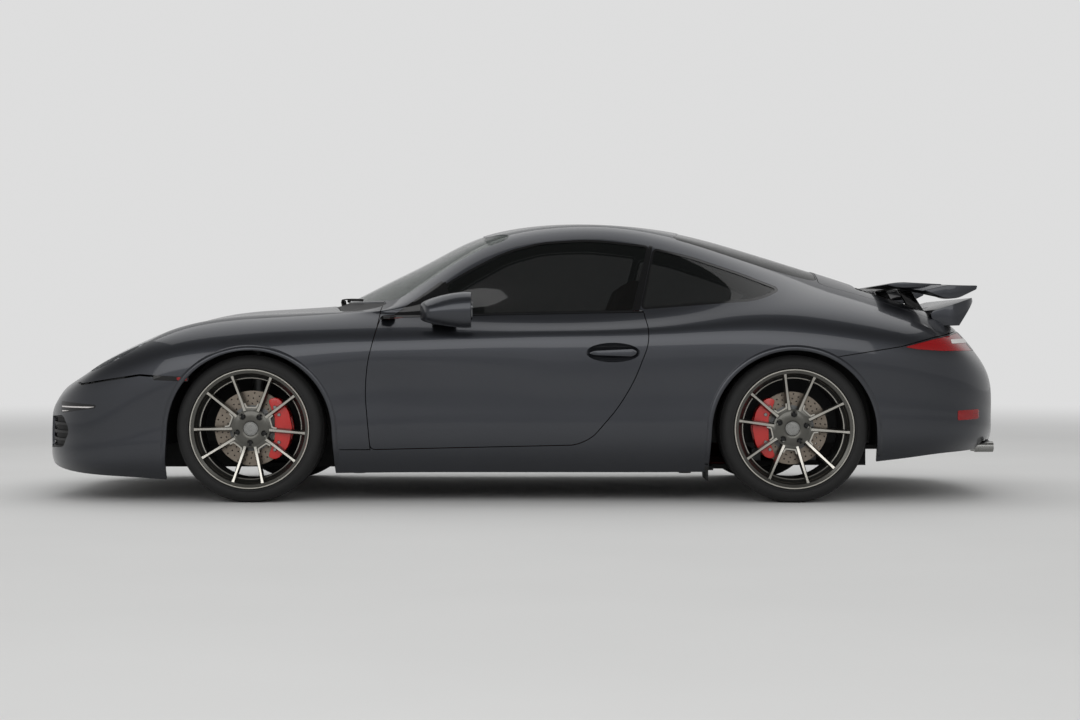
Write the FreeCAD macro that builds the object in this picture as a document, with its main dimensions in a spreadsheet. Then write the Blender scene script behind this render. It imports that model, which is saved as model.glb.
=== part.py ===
"""Rear-engined coupe car: body panels, doors, lids, glass, running gear and interior.

Millimetres. +X points to the nose, +Y to the left side, +Z up. The origin is on the
floor under the middle of the car.
"""
import FreeCAD, Part
import Sketcher
import math
import os

V = FreeCAD.Vector
doc = FreeCAD.newDocument("coupe")

# Driving dimensions: name and value or formula, in mm, degrees or plain counts
SIZES = [
    ("wheelbase", 2450),
    ("body_half_width", 904),
    ("track_front", 1538),
    ("track_rear", 1512),
    ("tyre_radius", 332),
    ("tyre_width_front", 240),
    ("tyre_width_rear", 286),
    ("tyre_shoulder_drop", 26),
    ("tyre_shoulder_in", 30),
    ("tyre_side_in", 13),
    ("rim_radius", 271),
    ("rim_flange", 9),
    ("rim_seat_depth", 15),
    ("rim_wall", 7),
    ("rim_lip_in", 16),
    ("spoke_pairs", 5),
    ("spoke_spread", 15.5),
    ("spoke_width_hub", 26),
    ("spoke_width_rim", 16),
    ("spoke_depth", 22),
    ("spoke_face_hub", 74),
    ("spoke_face_rim", 12),
    ("hub_radius", 84),
    ("hub_depth", 30),
    ("hub_bore", 34),
    ("lug_circle", 65),
    ("lug_radius", 11),
    ("disc_radius_front", 170),
    ("disc_radius_rear", 165),
    ("disc_thick", 32),
    ("disc_back", -10),
    ("disc_hat_radius", 82),
    ("caliper_inner", 104),
    ("caliper_over", 18),
    ("caliper_thick", 28),
    ("caliper_half_height", 150),
    ("running_gap", 4),
    ("seat_gap", 0.3),
    ("kingpin_in", 70),
    ("upright_radius", 52),
    ("upright_thick", 44),
    ("ball_joint_radius", 22),
    ("damper_radius", 28),
    ("damper_in", 184),
    ("disc_bore", 40),
    ("arm_thick", 26),
    ("arm_height", 196),
    ("panel_gap", 5),
    ("skin_thick", 22),
    ("glass_inset", 3),
    ("glass_thick", 6),
    ("lamp_depth", 48),
    ("door_inner", 700),
    ("door_flange", 26),
    ("sill_top", 236),
    ("belt_front", 842),
    ("belt_rear", 866),
    ("arch_radius", 370),
    ("arch_drop", 17),
    ("arch_flare", 22),
    ("liner_clear", 66),
    ("liner_wall", 4),
    ("liner_inner_front", 440),
    ("liner_inner_rear", 585),
    ("liner_outer", 868),
    ("floor_low", 134),
    ("floor_thick", 20),
    ("floor_half_width", 690),
    ("rear_floor_half_width", 560),
    ("tub_wall", 15),
    ("rear_tray_rise", 90),
    ("jack_pad_radius", 28),
    ("jack_pad_low", 124),
    ("silencer_x", -2095),
    ("silencer_radius", 65),
    ("tailpipe_radius", 25),
    ("tailpipe_height", 236),
    ("handle_recess", 16),
    ("tunnel_half_width", 110),
    ("tunnel_top", 300),
    ("bulkhead_thick", 25),
    ("bulkhead_front", 785),
    ("bulkhead_rear", -1010),
    ("bulkhead_top", 800),
    ("seat_half_width", 250),
    ("seat_centre", 365),
    ("steering_wheel_radius", 182),
    ("steering_wheel_grip", 15),
    ("steering_tilt", 24),
    ("steering_hub_radius", 62),
    ("steering_hub_long", 50),
    ("engine_length", 480),
    ("engine_width", 660),
    ("engine_behind", 735),
    ("engine_top", 700),
    ("silencer_height", 330),
    ("axle_front", "=wheelbase / 2"),
    ("axle_rear", "=-wheelbase / 2"),
    ("half_track_front", "=track_front / 2"),
    ("half_track_rear", "=track_rear / 2"),
    ("side_front", "=tyre_width_front / 2"),
    ("side_rear", "=tyre_width_rear / 2"),
    ("bead_front", "=side_front - tyre_side_in"),
    ("bead_rear", "=side_rear - tyre_side_in"),
    ("tread_front", "=side_front - tyre_shoulder_in"),
    ("tread_rear", "=side_rear - tyre_shoulder_in"),
    ("shoulder_radius", "=tyre_radius - tyre_shoulder_drop"),
    ("bead_radius", "=rim_radius - rim_seat_depth"),
    ("disc_front", "=disc_back + disc_thick"),
    ("hat_face", "=spoke_face_hub - hub_depth - seat_gap"),
    ("stub_radius", "=disc_bore - seat_gap"),
    ("grip_corner", "=steering_wheel_grip * 0.41"),
    ("grip_inner", "=steering_wheel_radius - steering_wheel_grip"),
    ("grip_outer", "=steering_wheel_radius + steering_wheel_grip"),
    ("grip_near", "=steering_wheel_radius - grip_corner"),
    ("grip_far", "=steering_wheel_radius + grip_corner"),
    ("tray_top", "=floor_low + rear_tray_rise + floor_thick"),
    ("engine_low", "=tray_top + seat_gap"),
    ("engine_height", "=engine_top - engine_low"),
    ("engine_rear", "=axle_rear - engine_behind"),
    ("engine_right", "=-engine_width / 2"),
    ("pipe_radius", "=tailpipe_radius - 4"),
    ("tailpipe_bore", "=tailpipe_radius - 3"),
]

sheet = doc.addObject("Spreadsheet::Sheet", "Sizes")
for row, (name, value) in enumerate(SIZES, start=1):
    sheet.set("A%d" % row, name)
    sheet.set("B%d" % row, str(value))
    sheet.setAlias("B%d" % row, name)
doc.recompute()


def size(name):
    """A driving dimension, read back from the sheet."""
    return float(sheet.get(name))


AXLE_FRONT = size("axle_front")
AXLE_REAR = size("axle_rear")
DRAWN_AXLE = 1225.0
DRAWN_HALF_WIDTH = 904.0
WHEEL_Z = size("tyre_radius")
GAP = size("panel_gap")
HALF_GAP = GAP / 2
SKIN = size("skin_thick")
SILL_TOP = size("sill_top")
BELT_FRONT = size("belt_front")
BELT_REAR = size("belt_rear")
BELT_FRONT_X, BELT_REAR_X = 640, -552
GAP_FIT = size("seat_gap")
FAR = 3000


def along(x):
    """Place a drawn x: it keeps its distance to its axle, or its share between the axles."""
    if x > DRAWN_AXLE:
        return AXLE_FRONT + x - DRAWN_AXLE
    if x < -DRAWN_AXLE:
        return AXLE_REAR + x + DRAWN_AXLE
    return x * AXLE_FRONT / DRAWN_AXLE


def across(y):
    """Place a drawn y in proportion to the body's width."""
    return y * size("body_half_width") / DRAWN_HALF_WIDTH


# Body sections from nose to tail. Columns: x on the centre line, x at the side, then
# y and z of the lower edge, of the widest side, of the shoulder, of the crest or belt
# line, of the bonnet edge or roof rail, and z on the centre line.
SECTIONS = [
    (2245.5, 2245.5, 270, 200, 290, 285, 280, 340, 240, 375, 160, 392, 398),
    (2232, 2212, 460, 165, 490, 290, 475, 380, 420, 425, 280, 446, 452),
    (2190, 2130, 620, 140, 665, 310, 650, 430, 580, 492, 400, 508, 500),
    (2110, 2020, 720, 125, 780, 330, 762, 480, 680, 560, 480, 562, 556),
    (1980, 1890, 775, 116, 838, 360, 820, 540, 720, 640, 510, 640, 624),
    (1800, 1730, 805, 108, 872, 400, 856, 610, 720, 722, 510, 722, 722),
    (1600, 1560, 822, 100, 893, 440, 880, 668, 710, 790, 510, 790, 808),
    (1380, 1350, 830, 110, 900, 480, 888, 700, 715, 825, 530, 838, 862),
    (1150, 1110, 830, 125, 896, 520, 880, 722, 725, 838, 550, 856, 882),
    (960, 840, 822, 130, 886, 560, 872, 740, 740, 846, 620, 864, 894),
    (860, 620, 816, 132, 880, 580, 866, 748, 758, 850, 708, 876, 916),
    (680, 430, 812, 133, 877, 590, 862, 752, 764, 856, 700, 948, 1008),
    (450, 220, 810, 133, 875, 595, 860, 755, 766, 860, 668, 1072, 1124),
    (210, 20, 810, 133, 875, 595, 860, 758, 766, 863, 632, 1158, 1240),
    (-90, -140, 810, 133, 876, 595, 860, 760, 766, 866, 606, 1198, 1297),
    (-400, -420, 812, 133, 880, 598, 864, 765, 766, 874, 600, 1207, 1301),
    (-720, -700, 818, 134, 888, 605, 872, 775, 768, 888, 590, 1160, 1266),
    (-1020, -960, 826, 136, 898, 612, 882, 785, 770, 905, 565, 1085, 1190),
    (-1310, -1230, 830, 140, 904, 610, 886, 782, 762, 905, 535, 1012, 1100),
    (-1580, -1500, 828, 170, 900, 590, 880, 760, 740, 880, 520, 955, 1012),
    (-1790, -1720, 812, 195, 884, 560, 862, 730, 715, 842, 500, 900, 935),
    (-1960, -1890, 775, 215, 850, 530, 828, 695, 690, 795, 480, 845, 868),
    (-2080, -2010, 700, 222, 790, 500, 768, 650, 640, 735, 450, 775, 790),
    (-2160, -2110, 590, 228, 690, 470, 668, 590, 560, 665, 390, 690, 700),
    (-2215, -2190, 430, 236, 530, 440, 515, 530, 440, 588, 300, 606, 612),
    (-2245.5, -2245.5, 250, 250, 290, 400, 282, 460, 240, 505, 160, 520, 525),
]
SILL_OUT, SILL_UP = 0.85, 0.28
FLANK_IN, FLANK_UP = 0.05, 0.64
CROWN_SHARE = 0.77


def half_section(section):
    """Points of the left half of a body section, from its lower edge to the centre line."""
    x_top, x_side, low_y, low_z, side_y, side_z, shoulder_y, shoulder_z = section[:8]
    crest_y, crest_z, rail_y, rail_z, top_z = section[8:]
    tuck, rise = side_y - low_y, side_z - low_z
    points = [
        (x_side, low_y, low_z),
        (x_side, low_y + SILL_OUT * tuck, low_z + SILL_UP * rise),
        (x_side, side_y - FLANK_IN * tuck, low_z + FLANK_UP * rise),
        (x_side, side_y, side_z),
        (x_side, shoulder_y, shoulder_z),
        (x_side, crest_y, crest_z),
    ]
    crown_z = rail_z + CROWN_SHARE * (top_z - rail_z)
    for y, z in ((rail_y, rail_z), (rail_y / 2, crown_z), (0, top_z)):
        points.append((x_side + (x_top - x_side) * (1 - (y / crest_y) ** 2), y, z))
    return [V(along(x), across(y), z) for x, y, z in points]


def body_grid(inset=0.0):
    """Rows of points over the body, from the left lower edge to the right, set in by inset."""
    rows = []
    for section in SECTIONS:
        half = half_section(section)
        rows.append(half + [V(p.x, -p.y, p.z) for p in reversed(half[:-1])])
    if not inset:
        return rows
    last_i, last_j = len(rows) - 1, len(rows[0]) - 1
    moved = []
    for i, row in enumerate(rows):
        line = []
        for j, point in enumerate(row):
            length = rows[min(i + 1, last_i)][j] - rows[max(i - 1, 0)][j]
            girth = row[min(j + 1, last_j)] - row[max(j - 1, 0)]
            inward = girth.cross(length)
            if i in (0, last_i):
                inward.x = 0
            inward.normalize()
            if i == 0:
                inward.x = -1
            if i == last_i:
                inward.x = 1
            line.append(point + inward * inset)
        moved.append(line)
    return moved


def poles_through(values):
    """Poles of the uniform cubic spline with free ends that passes through the values."""
    poles = list(values)
    right = [value * 6 for value in values[1:-1]]
    right[0] = right[0] - values[0]
    right[-1] = right[-1] - values[-1]
    factors = [0.25]
    right[0] = right[0] * 0.25
    for i in range(1, len(right)):
        factors.append(1 / (4 - factors[-1]))
        right[i] = (right[i] - right[i - 1]) * factors[i]
    for i in range(len(right) - 2, -1, -1):
        right[i] = right[i] - right[i + 1] * factors[i]
    poles[1:-1] = right
    return poles


def with_free_ends(line):
    """The line with one more pole at each end, so that the ends don't bend."""
    return [line[0] * 2 - line[1]] + line + [line[-1] * 2 - line[-2]]


def turned(rows):
    return [list(column) for column in zip(*rows)]


def smooth_skin(rows):
    """The smooth surface through the rows of points."""
    poles = turned([poles_through(row) for row in rows])
    poles = turned([poles_through(column) for column in poles])
    poles = turned([with_free_ends(row) for row in poles])
    poles = turned([with_free_ends(column) for column in poles])
    skin = Part.BSplineSurface()
    knots_u = [float(i) for i in range(len(poles) + 4)]
    knots_v = [float(i) for i in range(len(poles[0]) + 4)]
    once_u, once_v = [1] * len(knots_u), [1] * len(knots_v)
    skin.buildFromPolesMultsKnots(poles, once_u, once_v, knots_u, knots_v, False, False, 3, 3)
    return skin


def facet(*points):
    return Part.Face(Part.makePolygon(list(points) + [points[0]]))


def body_form(inset=0.0, steps_along=1, steps_across=2, drop=0.0):
    """The body's form as a solid of flat facets that lie on the smooth skin.

    inset sets it in from the outer surface and drop takes its lower edge down.
    """
    rows = body_grid(inset)
    skin = smooth_skin(rows)
    count_along, count_across = len(rows) - 1, len(rows[0]) - 1
    mesh = []
    for i in range(count_along * steps_along + 1):
        line = []
        for j in range(count_across * steps_across + 1):
            line.append(skin.value(3.0 + i / steps_along, 3.0 + j / steps_across))
        line[0].z -= drop
        line[-1].z -= drop
        mesh.append(line)
    faces = []
    for a, b in zip(mesh, mesh[1:]):
        for j in range(len(a) - 1):
            if j < (len(a) - 1) / 2:
                faces.append(facet(a[j], b[j], b[j + 1]))
                faces.append(facet(a[j], b[j + 1], a[j + 1]))
            else:
                faces.append(facet(a[j], b[j], a[j + 1]))
                faces.append(facet(a[j + 1], b[j], b[j + 1]))
        faces.append(facet(a[0], a[-1], b[-1]))
        faces.append(facet(a[0], b[-1], b[0]))
    faces.append(facet(*mesh[0]))
    faces.append(facet(*mesh[-1]))
    shell = Part.makeShell(faces)
    shell.sewShape()
    solid = Part.Solid(shell)
    if solid.Volume < 0:
        solid.reverse()
    return solid


def rounded(points, plane, level=0.0):
    """A closed wire through the corners (a, b, radius) in the XZ, XY or YZ plane."""
    spot = {"XZ": lambda a, b: V(a, level, b), "XY": lambda a, b: V(a, b, level),
            "YZ": lambda a, b: V(level, a, b)}[plane]
    spots = [spot(a, b) for a, b, _ in points]
    corners = []
    for k, (_, _, radius) in enumerate(points):
        here = spots[k]
        back = spots[k - 1] - here
        onward = spots[(k + 1) % len(spots)] - here
        turn = math.pi - back.getAngle(onward)
        reach = min(radius * math.tan(turn / 2), 0.49 * back.Length, 0.49 * onward.Length)
        if reach < 0.01 or turn < 0.01:
            corners.append((here, here, None))
            continue
        back.normalize()
        onward.normalize()
        start, end = here + back * reach, here + onward * reach
        bisector = back + onward
        bisector.normalize()
        arc_radius = reach / math.tan(turn / 2)
        depth = arc_radius / math.cos(turn / 2) - arc_radius
        corners.append((start, end, Part.Arc(start, here + bisector * depth, end).toShape()))
    edges = []
    for k, (_, end, arc) in enumerate(corners):
        if arc:
            edges.append(arc)
        after = corners[(k + 1) % len(corners)][0]
        if (after - end).Length > 0.01:
            edges.append(Part.makeLine(end, after))
    return Part.Wire(edges)


def prism(points, plane, low, high, grow=0.0):
    """A straight prism over a rounded outline, from low to high along the third axis."""
    face = Part.Face(rounded(points, plane, low))
    if grow:
        face = face.makeOffset2D(grow)
    axis = {"XZ": V(0, 1, 0), "XY": V(0, 0, 1), "YZ": V(1, 0, 0)}[plane]
    return face.extrude(axis * (high - low))


def mirrored(shape):
    """The same shape on the right side."""
    return shape.mirror(V(0, 0, 0), V(0, 1, 0))


def box(x0, x1, y0, y1, z0, z1):
    return Part.makeBox(x1 - x0, y1 - y0, z1 - z0, V(x0, y0, z0))


def rod(start, end, radius):
    start, end = V(*start), V(*end)
    return Part.makeCylinder(radius, (end - start).Length, start, end - start)


def ring(profile, axle_x, axle_y):
    """A ring about a wheel's axle from its half profile of (y, radius) points."""
    points = [V(axle_x, axle_y + y, WHEEL_Z + r) for y, r in profile]
    face = Part.Face(Part.makePolygon(points + [points[0]]))
    return face.revolve(V(axle_x, axle_y, WHEEL_Z), V(0, 1, 0), 360)


def largest(shape):
    """The largest solid of a shape, without the slivers that a cut can leave."""
    return max(shape.Solids, key=lambda solid: solid.Volume)


nodes = []


def keep(name, shape):
    """Add a finished piece to the document under its own name."""
    piece = doc.addObject("Part::Feature", name)
    piece.Label = name
    piece.Shape = shape
    piece.Placement = FreeCAD.Placement()
    nodes.append(piece)
    return shape


def keep_both(name, shape):
    """Keep a left piece and its mirror on the right."""
    keep(name + "_left", shape)
    keep(name + "_right", mirrored(shape))


def cell(name):
    """An expression for a size, negated where its name starts with a minus."""
    return "-Sizes." + name[1:] if name.startswith("-") else "Sizes." + name


def signed(name):
    return -size(name[1:]) if name.startswith("-") else size(name)


def turned_body(name, corners):
    """A body turned about its own Y axis from corners of (radius, y), named in the sheet."""
    body = doc.addObject("PartDesign::Body", name)
    sketch = body.newObject("Sketcher::SketchObject", name + "_profile")
    spots = [V(signed(radius), signed(y), 0) for radius, y in corners]
    count = len(spots)
    for k in range(count):
        sketch.addGeometry(Part.LineSegment(spots[k], spots[(k + 1) % count]))
    for k in range(count):
        sketch.addConstraint(Sketcher.Constraint("Coincident", k, 2, (k + 1) % count, 1))
    for k, corner in enumerate(corners):
        for kind, named in zip(("DistanceX", "DistanceY"), corner):
            index = sketch.addConstraint(
                Sketcher.Constraint(kind, -1, 1, k, 1, signed(named)))
            sketch.setExpression("Constraints[%d]" % index, cell(named))
    turning = body.newObject("PartDesign::Revolution", name + "_turning")
    turning.Profile = sketch
    turning.ReferenceAxis = (sketch, ["V_Axis"])
    turning.Angle = 360
    return body


def bound_place(item, x, y, z):
    """Bind an object's place to three sizes."""
    for axis, named in zip("xyz", (x, y, z)):
        item.setExpression(".Placement.Base." + axis, cell(named))


def bound_rod(name, radius, start, end):
    """A cylinder between two points, with its radius bound to a size."""
    item = doc.addObject("Part::Cylinder", name)
    item.setExpression("Radius", cell(radius))
    start, end = V(*start), V(*end)
    item.Height = (end - start).Length
    item.Placement = FreeCAD.Placement(start, FreeCAD.Rotation(V(0, 0, 1), end - start))
    return item


def bound_fuse(name, pieces):
    item = doc.addObject("Part::MultiFuse", name)
    item.Shapes = pieces
    return item


def keep_item(item):
    """Keep a parametric object of the document as a finished piece."""
    item.Label = item.Name
    nodes.append(item)


def keep_pair(left, name):
    """Keep a left parametric object and its mirror feature on the right."""
    keep_item(left)
    right = doc.addObject("Part::Mirroring", name + "_right")
    right.Source = left
    right.Base = V(0, 0, 0)
    right.Normal = V(0, 1, 0)
    keep_item(right)


outer = body_form()
hollow = body_form(SKIN, 1, 1, 60.0)
glass_outer = body_form(size("glass_inset"))
glass_inner = body_form(size("glass_inset") + size("glass_thick"), drop=60.0)
lamp_inner = body_form(size("lamp_depth"), 1, 1, 60.0)


def belt(x):
    """Height of the door's top edge at a drawn x."""
    return BELT_FRONT + (BELT_REAR - BELT_FRONT) * (BELT_FRONT_X - x) / (BELT_FRONT_X - BELT_REAR_X)


# Outlines as corners (a, b, radius). Side outlines are in XZ and top outlines in XY.
DOOR = [
    (along(683), SILL_TOP + HALF_GAP, 25), (along(712), 560, 900), (along(655), 790, 140),
    (along(BELT_FRONT_X), BELT_FRONT, 12), (along(BELT_REAR_X), BELT_REAR, 12),
    (along(-582), 740, 220),
    (along(-480), 480, 700), (along(-290), SILL_TOP + 24, 170),
]
DOOR_GLASS = [
    (along(575), belt(575) - GAP + GAP_FIT, 10), (along(277), 1034, 1200),
    (along(79), 1140, 500), (along(-90), 1184, 400), (along(-320), 1198, 900),
    (along(-588), 1168, 20), (along(-508), belt(-508) - GAP + GAP_FIT, 20),
]
QUARTER_GLASS = [
    (along(-606), 1158, 25), (along(-780), 1118, 900), (along(-1010), 1041, 900),
    (along(-1195), 966, 16), (along(-1080), 914, 300), (along(-540), BELT_REAR + 6, 20),
]
WINDSCREEN = [
    (along(590), 655, 60), (along(790), 380, 800), (along(872), 0, 1400),
    (along(790), -380, 800), (along(590), -655, 60), (along(40), -575, 50),
    (along(170), -330, 1500), (along(212), 0, 2500), (along(170), 330, 1500),
    (along(40), 575, 50),
]
ROOF = [
    (along(34), 545, 30), (along(164), 330, 1500), (along(206), 0, 2500),
    (along(164), -330, 1500), (along(34), -545, 30), (along(-700), -520, 20),
    (along(-775), 0, 3000), (along(-700), 520, 20),
]
REAR_GLASS = [
    (along(-706), 515, 30), (along(-781), 0, 3000), (along(-706), -515, 30),
    (along(-1385), -470, 60), (along(-1415), 0, 3000), (along(-1385), 470, 60),
]
ENGINE_LID = [
    (along(-1391), 500, 40), (along(-1421), 0, 3000), (along(-1391), -500, 40),
    (along(-1700), -560, 900), (along(-2020), -600, 30), (along(-2400), -600, 0),
    (along(-2400), 600, 0), (along(-2020), 600, 30), (along(-1700), 560, 900),
]
LUGGAGE_LID = [
    (along(835), 640, 40), (along(1300), 572, 1500), (along(1800), 482, 1500),
    (along(2035), 405, 120), (along(2116), 0, 900), (along(2035), -405, 120),
    (along(1800), -482, 1500), (along(1300), -572, 1500), (along(835), -640, 40),
    (along(945), 0, 1500),
]
COWL = [
    (along(604), 668, 30), (along(829), 655, 30), (along(939), 0, 1500),
    (along(829), -655, 30), (along(604), -668, 30), (along(802), -380, 800),
    (along(882), 0, 1400), (along(802), 380, 800),
]
BUMPER_LINE = [(1478, 554), (1720, 572), (2010, 528), (2126, 562), (2400, 562)]
FRONT_BUMPER = [(along(1300), 40, 0), (along(1400), 400, 0)] + [
    (along(x), z, 0) for x, z in BUMPER_LINE] + [(along(2400), 40, 0)]
FENDER = [
    (along(683), SILL_TOP + HALF_GAP, 0), (along(712), 560, 900),
    (along(655), 790, 140), (along(630), 1000, 0), (along(2400), 1000, 0),
] + [(along(x), z + GAP, 0) for x, z in reversed(BUMPER_LINE)] + [
    (along(1350), 400, 0), (along(1250), SILL_TOP + HALF_GAP, 0)]
TAIL_LINE = [(-1388, 652), (-1705, 702), (-1860, 742), (-2045, 775), (-2400, 775)]
REAR_BUMPER = [(along(x), z, 0) for x, z in TAIL_LINE] + [
    (along(-2400), 60, 0), (along(-1300), 60, 0)]
TAIL_LAMP = [
    (along(-1722), 700, 3), (along(-1860), 734, 600), (along(-2045), 767, 60),
    (along(-2400), 767, 0), (along(-2400), 684, 0), (along(-1900), 683, 400),
    (along(-1790), 690, 200),
]
TAIL_LAMP_INNER = 470
TAILPIPE_SLOT = [(across(455), 140, 10), (across(455), 268, 30), (across(618), 268, 30),
                 (across(618), 140, 10)]
HANDLE_RECESS = [(along(-295), 676, 44), (along(-345), 722, 60), (along(-476), 722, 60),
                 (along(-526), 676, 44), (along(-476), 630, 60), (along(-345), 630, 60)]
HANDLE_BAR = [(along(-304), 692, 10), (along(-517), 692, 10), (along(-517), 661, 10),
              (along(-304), 661, 10)]
HANDLE_ENDS = 30
HEADLAMP_CENTRE, HEADLAMP_HALF = (1795, 622), (182, 112)
HEADLAMP_TURN = 8


def arch_cut(axle_x):
    """The left wheel opening: round over the wheel, flared towards the floor."""
    radius, flare = size("arch_radius"), size("arch_flare")
    low, high = 400, 1000
    middle = WHEEL_Z - size("arch_drop")
    crown = Part.makeCylinder(radius, high - low, V(axle_x, low, middle), V(0, 1, 0))
    foot = prism([(axle_x - radius, middle, 0), (axle_x + radius, middle, 0),
                  (axle_x + radius + flare, -10, 0), (axle_x - radius - flare, -10, 0)],
                 "XZ", low, high)
    return crown.fuse(foot)


arch_front = arch_cut(AXLE_FRONT)
arch_rear = arch_cut(AXLE_REAR)
both_arches_front = arch_front.fuse(mirrored(arch_front))
both_arches_rear = arch_rear.fuse(mirrored(arch_rear))


def side_cut(outline, grow=0.0, low=300):
    """A side outline as a cutter through the left half."""
    return prism(outline, "XZ", low, 1000, grow)


def top_cut(outline, grow=0.0, low=450, high=1500):
    """A top outline as a cutter from above."""
    return prism(outline, "XY", low, high, grow)


def body_layer(outer_inset, inner_inset):
    """The layer of the body between two insets, both in the coarse facets."""
    return body_form(outer_inset, 1, 1).cut(body_form(inner_inset, 1, 1, 60.0))


def headlamp_cut(grow=0.0):
    """The oval cutter of the left headlamp, seen from above."""
    oval = Part.Ellipse(V(0, 0, 0), HEADLAMP_HALF[0] + grow, HEADLAMP_HALF[1] + grow)
    face = Part.Face(Part.Wire(oval.toShape()))
    face.rotate(V(0, 0, 0), V(0, 0, 1), HEADLAMP_TURN)
    face.translate(V(along(HEADLAMP_CENTRE[0]), across(HEADLAMP_CENTRE[1]), 450))
    return face.extrude(V(0, 0, 600))


seat_form = body_form(SKIN + GAP_FIT, 1, 1, 60.0)

# Left door: a skin with a folded flange and a handle recess, and a narrower inner half
door_skin = outer.common(side_cut(DOOR, -HALF_GAP)).cut(hollow)
door_skin = door_skin.cut(side_cut(HANDLE_RECESS).cut(body_form(size("handle_recess"), 1, 1)))
door_core = side_cut(DOOR, -HALF_GAP - size("door_flange"), size("door_inner"))
door_core = door_core.common(body_form(SKIN - 4, 1, 1))
keep_both("door", largest(door_skin.fuse(door_core)))

# Glass panes, each cut from a thin shell just under the skin. What is fixed in its
# opening grows to the fitting gap.
FIXED_GROW = HALF_GAP - GAP_FIT
pane = glass_outer.cut(glass_inner)
keep_both("door_glass", largest(pane.common(side_cut(DOOR_GLASS, -HALF_GAP))))
keep("windscreen", largest(pane.common(top_cut(WINDSCREEN, FIXED_GROW))))
quarter = largest(pane.common(side_cut(QUARTER_GLASS, FIXED_GROW)))
rear_pane = largest(pane.common(top_cut(REAR_GLASS, FIXED_GROW)))
keep("rear_windows", Part.makeCompound([rear_pane, quarter, mirrored(quarter)]))

# Painted panels
shell = outer.cut(hollow)
keep("roof_panel", largest(shell.common(top_cut(ROOF, FIXED_GROW, 900))))
keep("luggage_lid", largest(shell.common(top_cut(LUGGAGE_LID, -HALF_GAP))))
keep("cowl_panel", largest(shell.common(top_cut(COWL, -HALF_GAP, 600))))

fender = shell.common(side_cut(FENDER, -HALF_GAP))
for cutter in (arch_front, top_cut(LUGGAGE_LID, HALF_GAP), top_cut(COWL, HALF_GAP, 600),
               top_cut(WINDSCREEN, HALF_GAP, 600), headlamp_cut(HALF_GAP)):
    fender = fender.cut(cutter)
keep_both("front_fender", largest(fender))

headlamp = outer.cut(lamp_inner).common(headlamp_cut(FIXED_GROW))
headlamp = largest(headlamp)
keep("headlamps", Part.makeCompound([headlamp, mirrored(headlamp)]))

LID_SWING = 4
bumper_block = prism(FRONT_BUMPER, "XZ", -1000, 1000, -HALF_GAP)
bumper = shell.common(bumper_block).cut(both_arches_front)
bumper = bumper.cut(top_cut(LUGGAGE_LID, HALF_GAP + LID_SWING))
bumper = bumper.cut(headlamp_cut(HALF_GAP)).cut(mirrored(headlamp_cut(HALF_GAP)))
INTAKE = [(430, 228, 20), (690, 240, 30), (742, 320, 40), (690, 388, 40), (430, 372, 20)]
INTAKE_MIDDLE = [(-330, 158, 20), (330, 158, 20), (290, 262, 20), (-290, 262, 20)]
intake_cut = prism(INTAKE, "YZ", 1900, 2400)
for cutter in (intake_cut, mirrored(intake_cut), prism(INTAKE_MIDDLE, "YZ", 1900, 2400)):
    bumper = bumper.cut(cutter)
keep("front_bumper", largest(bumper))

grille_shell = body_layer(SKIN + GAP_FIT, SKIN + 14)
grille_side = largest(grille_shell.common(prism(INTAKE, "YZ", 1850, 2400, 14)))
grille_middle = largest(grille_shell.common(prism(INTAKE_MIDDLE, "YZ", 1850, 2400, 14)))
keep("intake_grilles", Part.makeCompound([grille_side, mirrored(grille_side), grille_middle]))

# Body side: sill, pillars, roof rail and rear quarter in one pressing
side = shell.common(box(along(-2300), along(862), 0, FAR, 0, FAR))
for cutter in (
    side_cut(DOOR, HALF_GAP), side_cut(DOOR_GLASS, HALF_GAP), side_cut(QUARTER_GLASS, HALF_GAP),
    side_cut(FENDER, HALF_GAP), top_cut(WINDSCREEN, HALF_GAP, 600),
    top_cut(COWL, HALF_GAP, 600), top_cut(LUGGAGE_LID, HALF_GAP), top_cut(ROOF, HALF_GAP, 900),
    top_cut(REAR_GLASS, HALF_GAP, 800), top_cut(ENGINE_LID, HALF_GAP, 600),
    prism(REAR_BUMPER, "XZ", -10, 1000, HALF_GAP), arch_front, arch_rear,
):
    side = side.cut(cutter)
keep_both("body_side", largest(side))

rear = shell.common(prism(REAR_BUMPER, "XZ", -1000, 1000, -HALF_GAP)).cut(both_arches_rear)
lamp_cut = prism(TAIL_LAMP, "XZ", across(TAIL_LAMP_INNER), 1000, GAP_FIT)
pipe_cut = prism(TAILPIPE_SLOT, "YZ", -2400, -2000)
for cutter in (lamp_cut, mirrored(lamp_cut), pipe_cut, mirrored(pipe_cut)):
    rear = rear.cut(cutter)
keep("rear_bumper", largest(rear))
lamp = prism(TAIL_LAMP, "XZ", across(TAIL_LAMP_INNER) + GAP_FIT, 1000)
lamp = largest(outer.cut(lamp_inner).common(lamp))
keep("tail_lamps", Part.makeCompound([lamp, mirrored(lamp)]))

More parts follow.
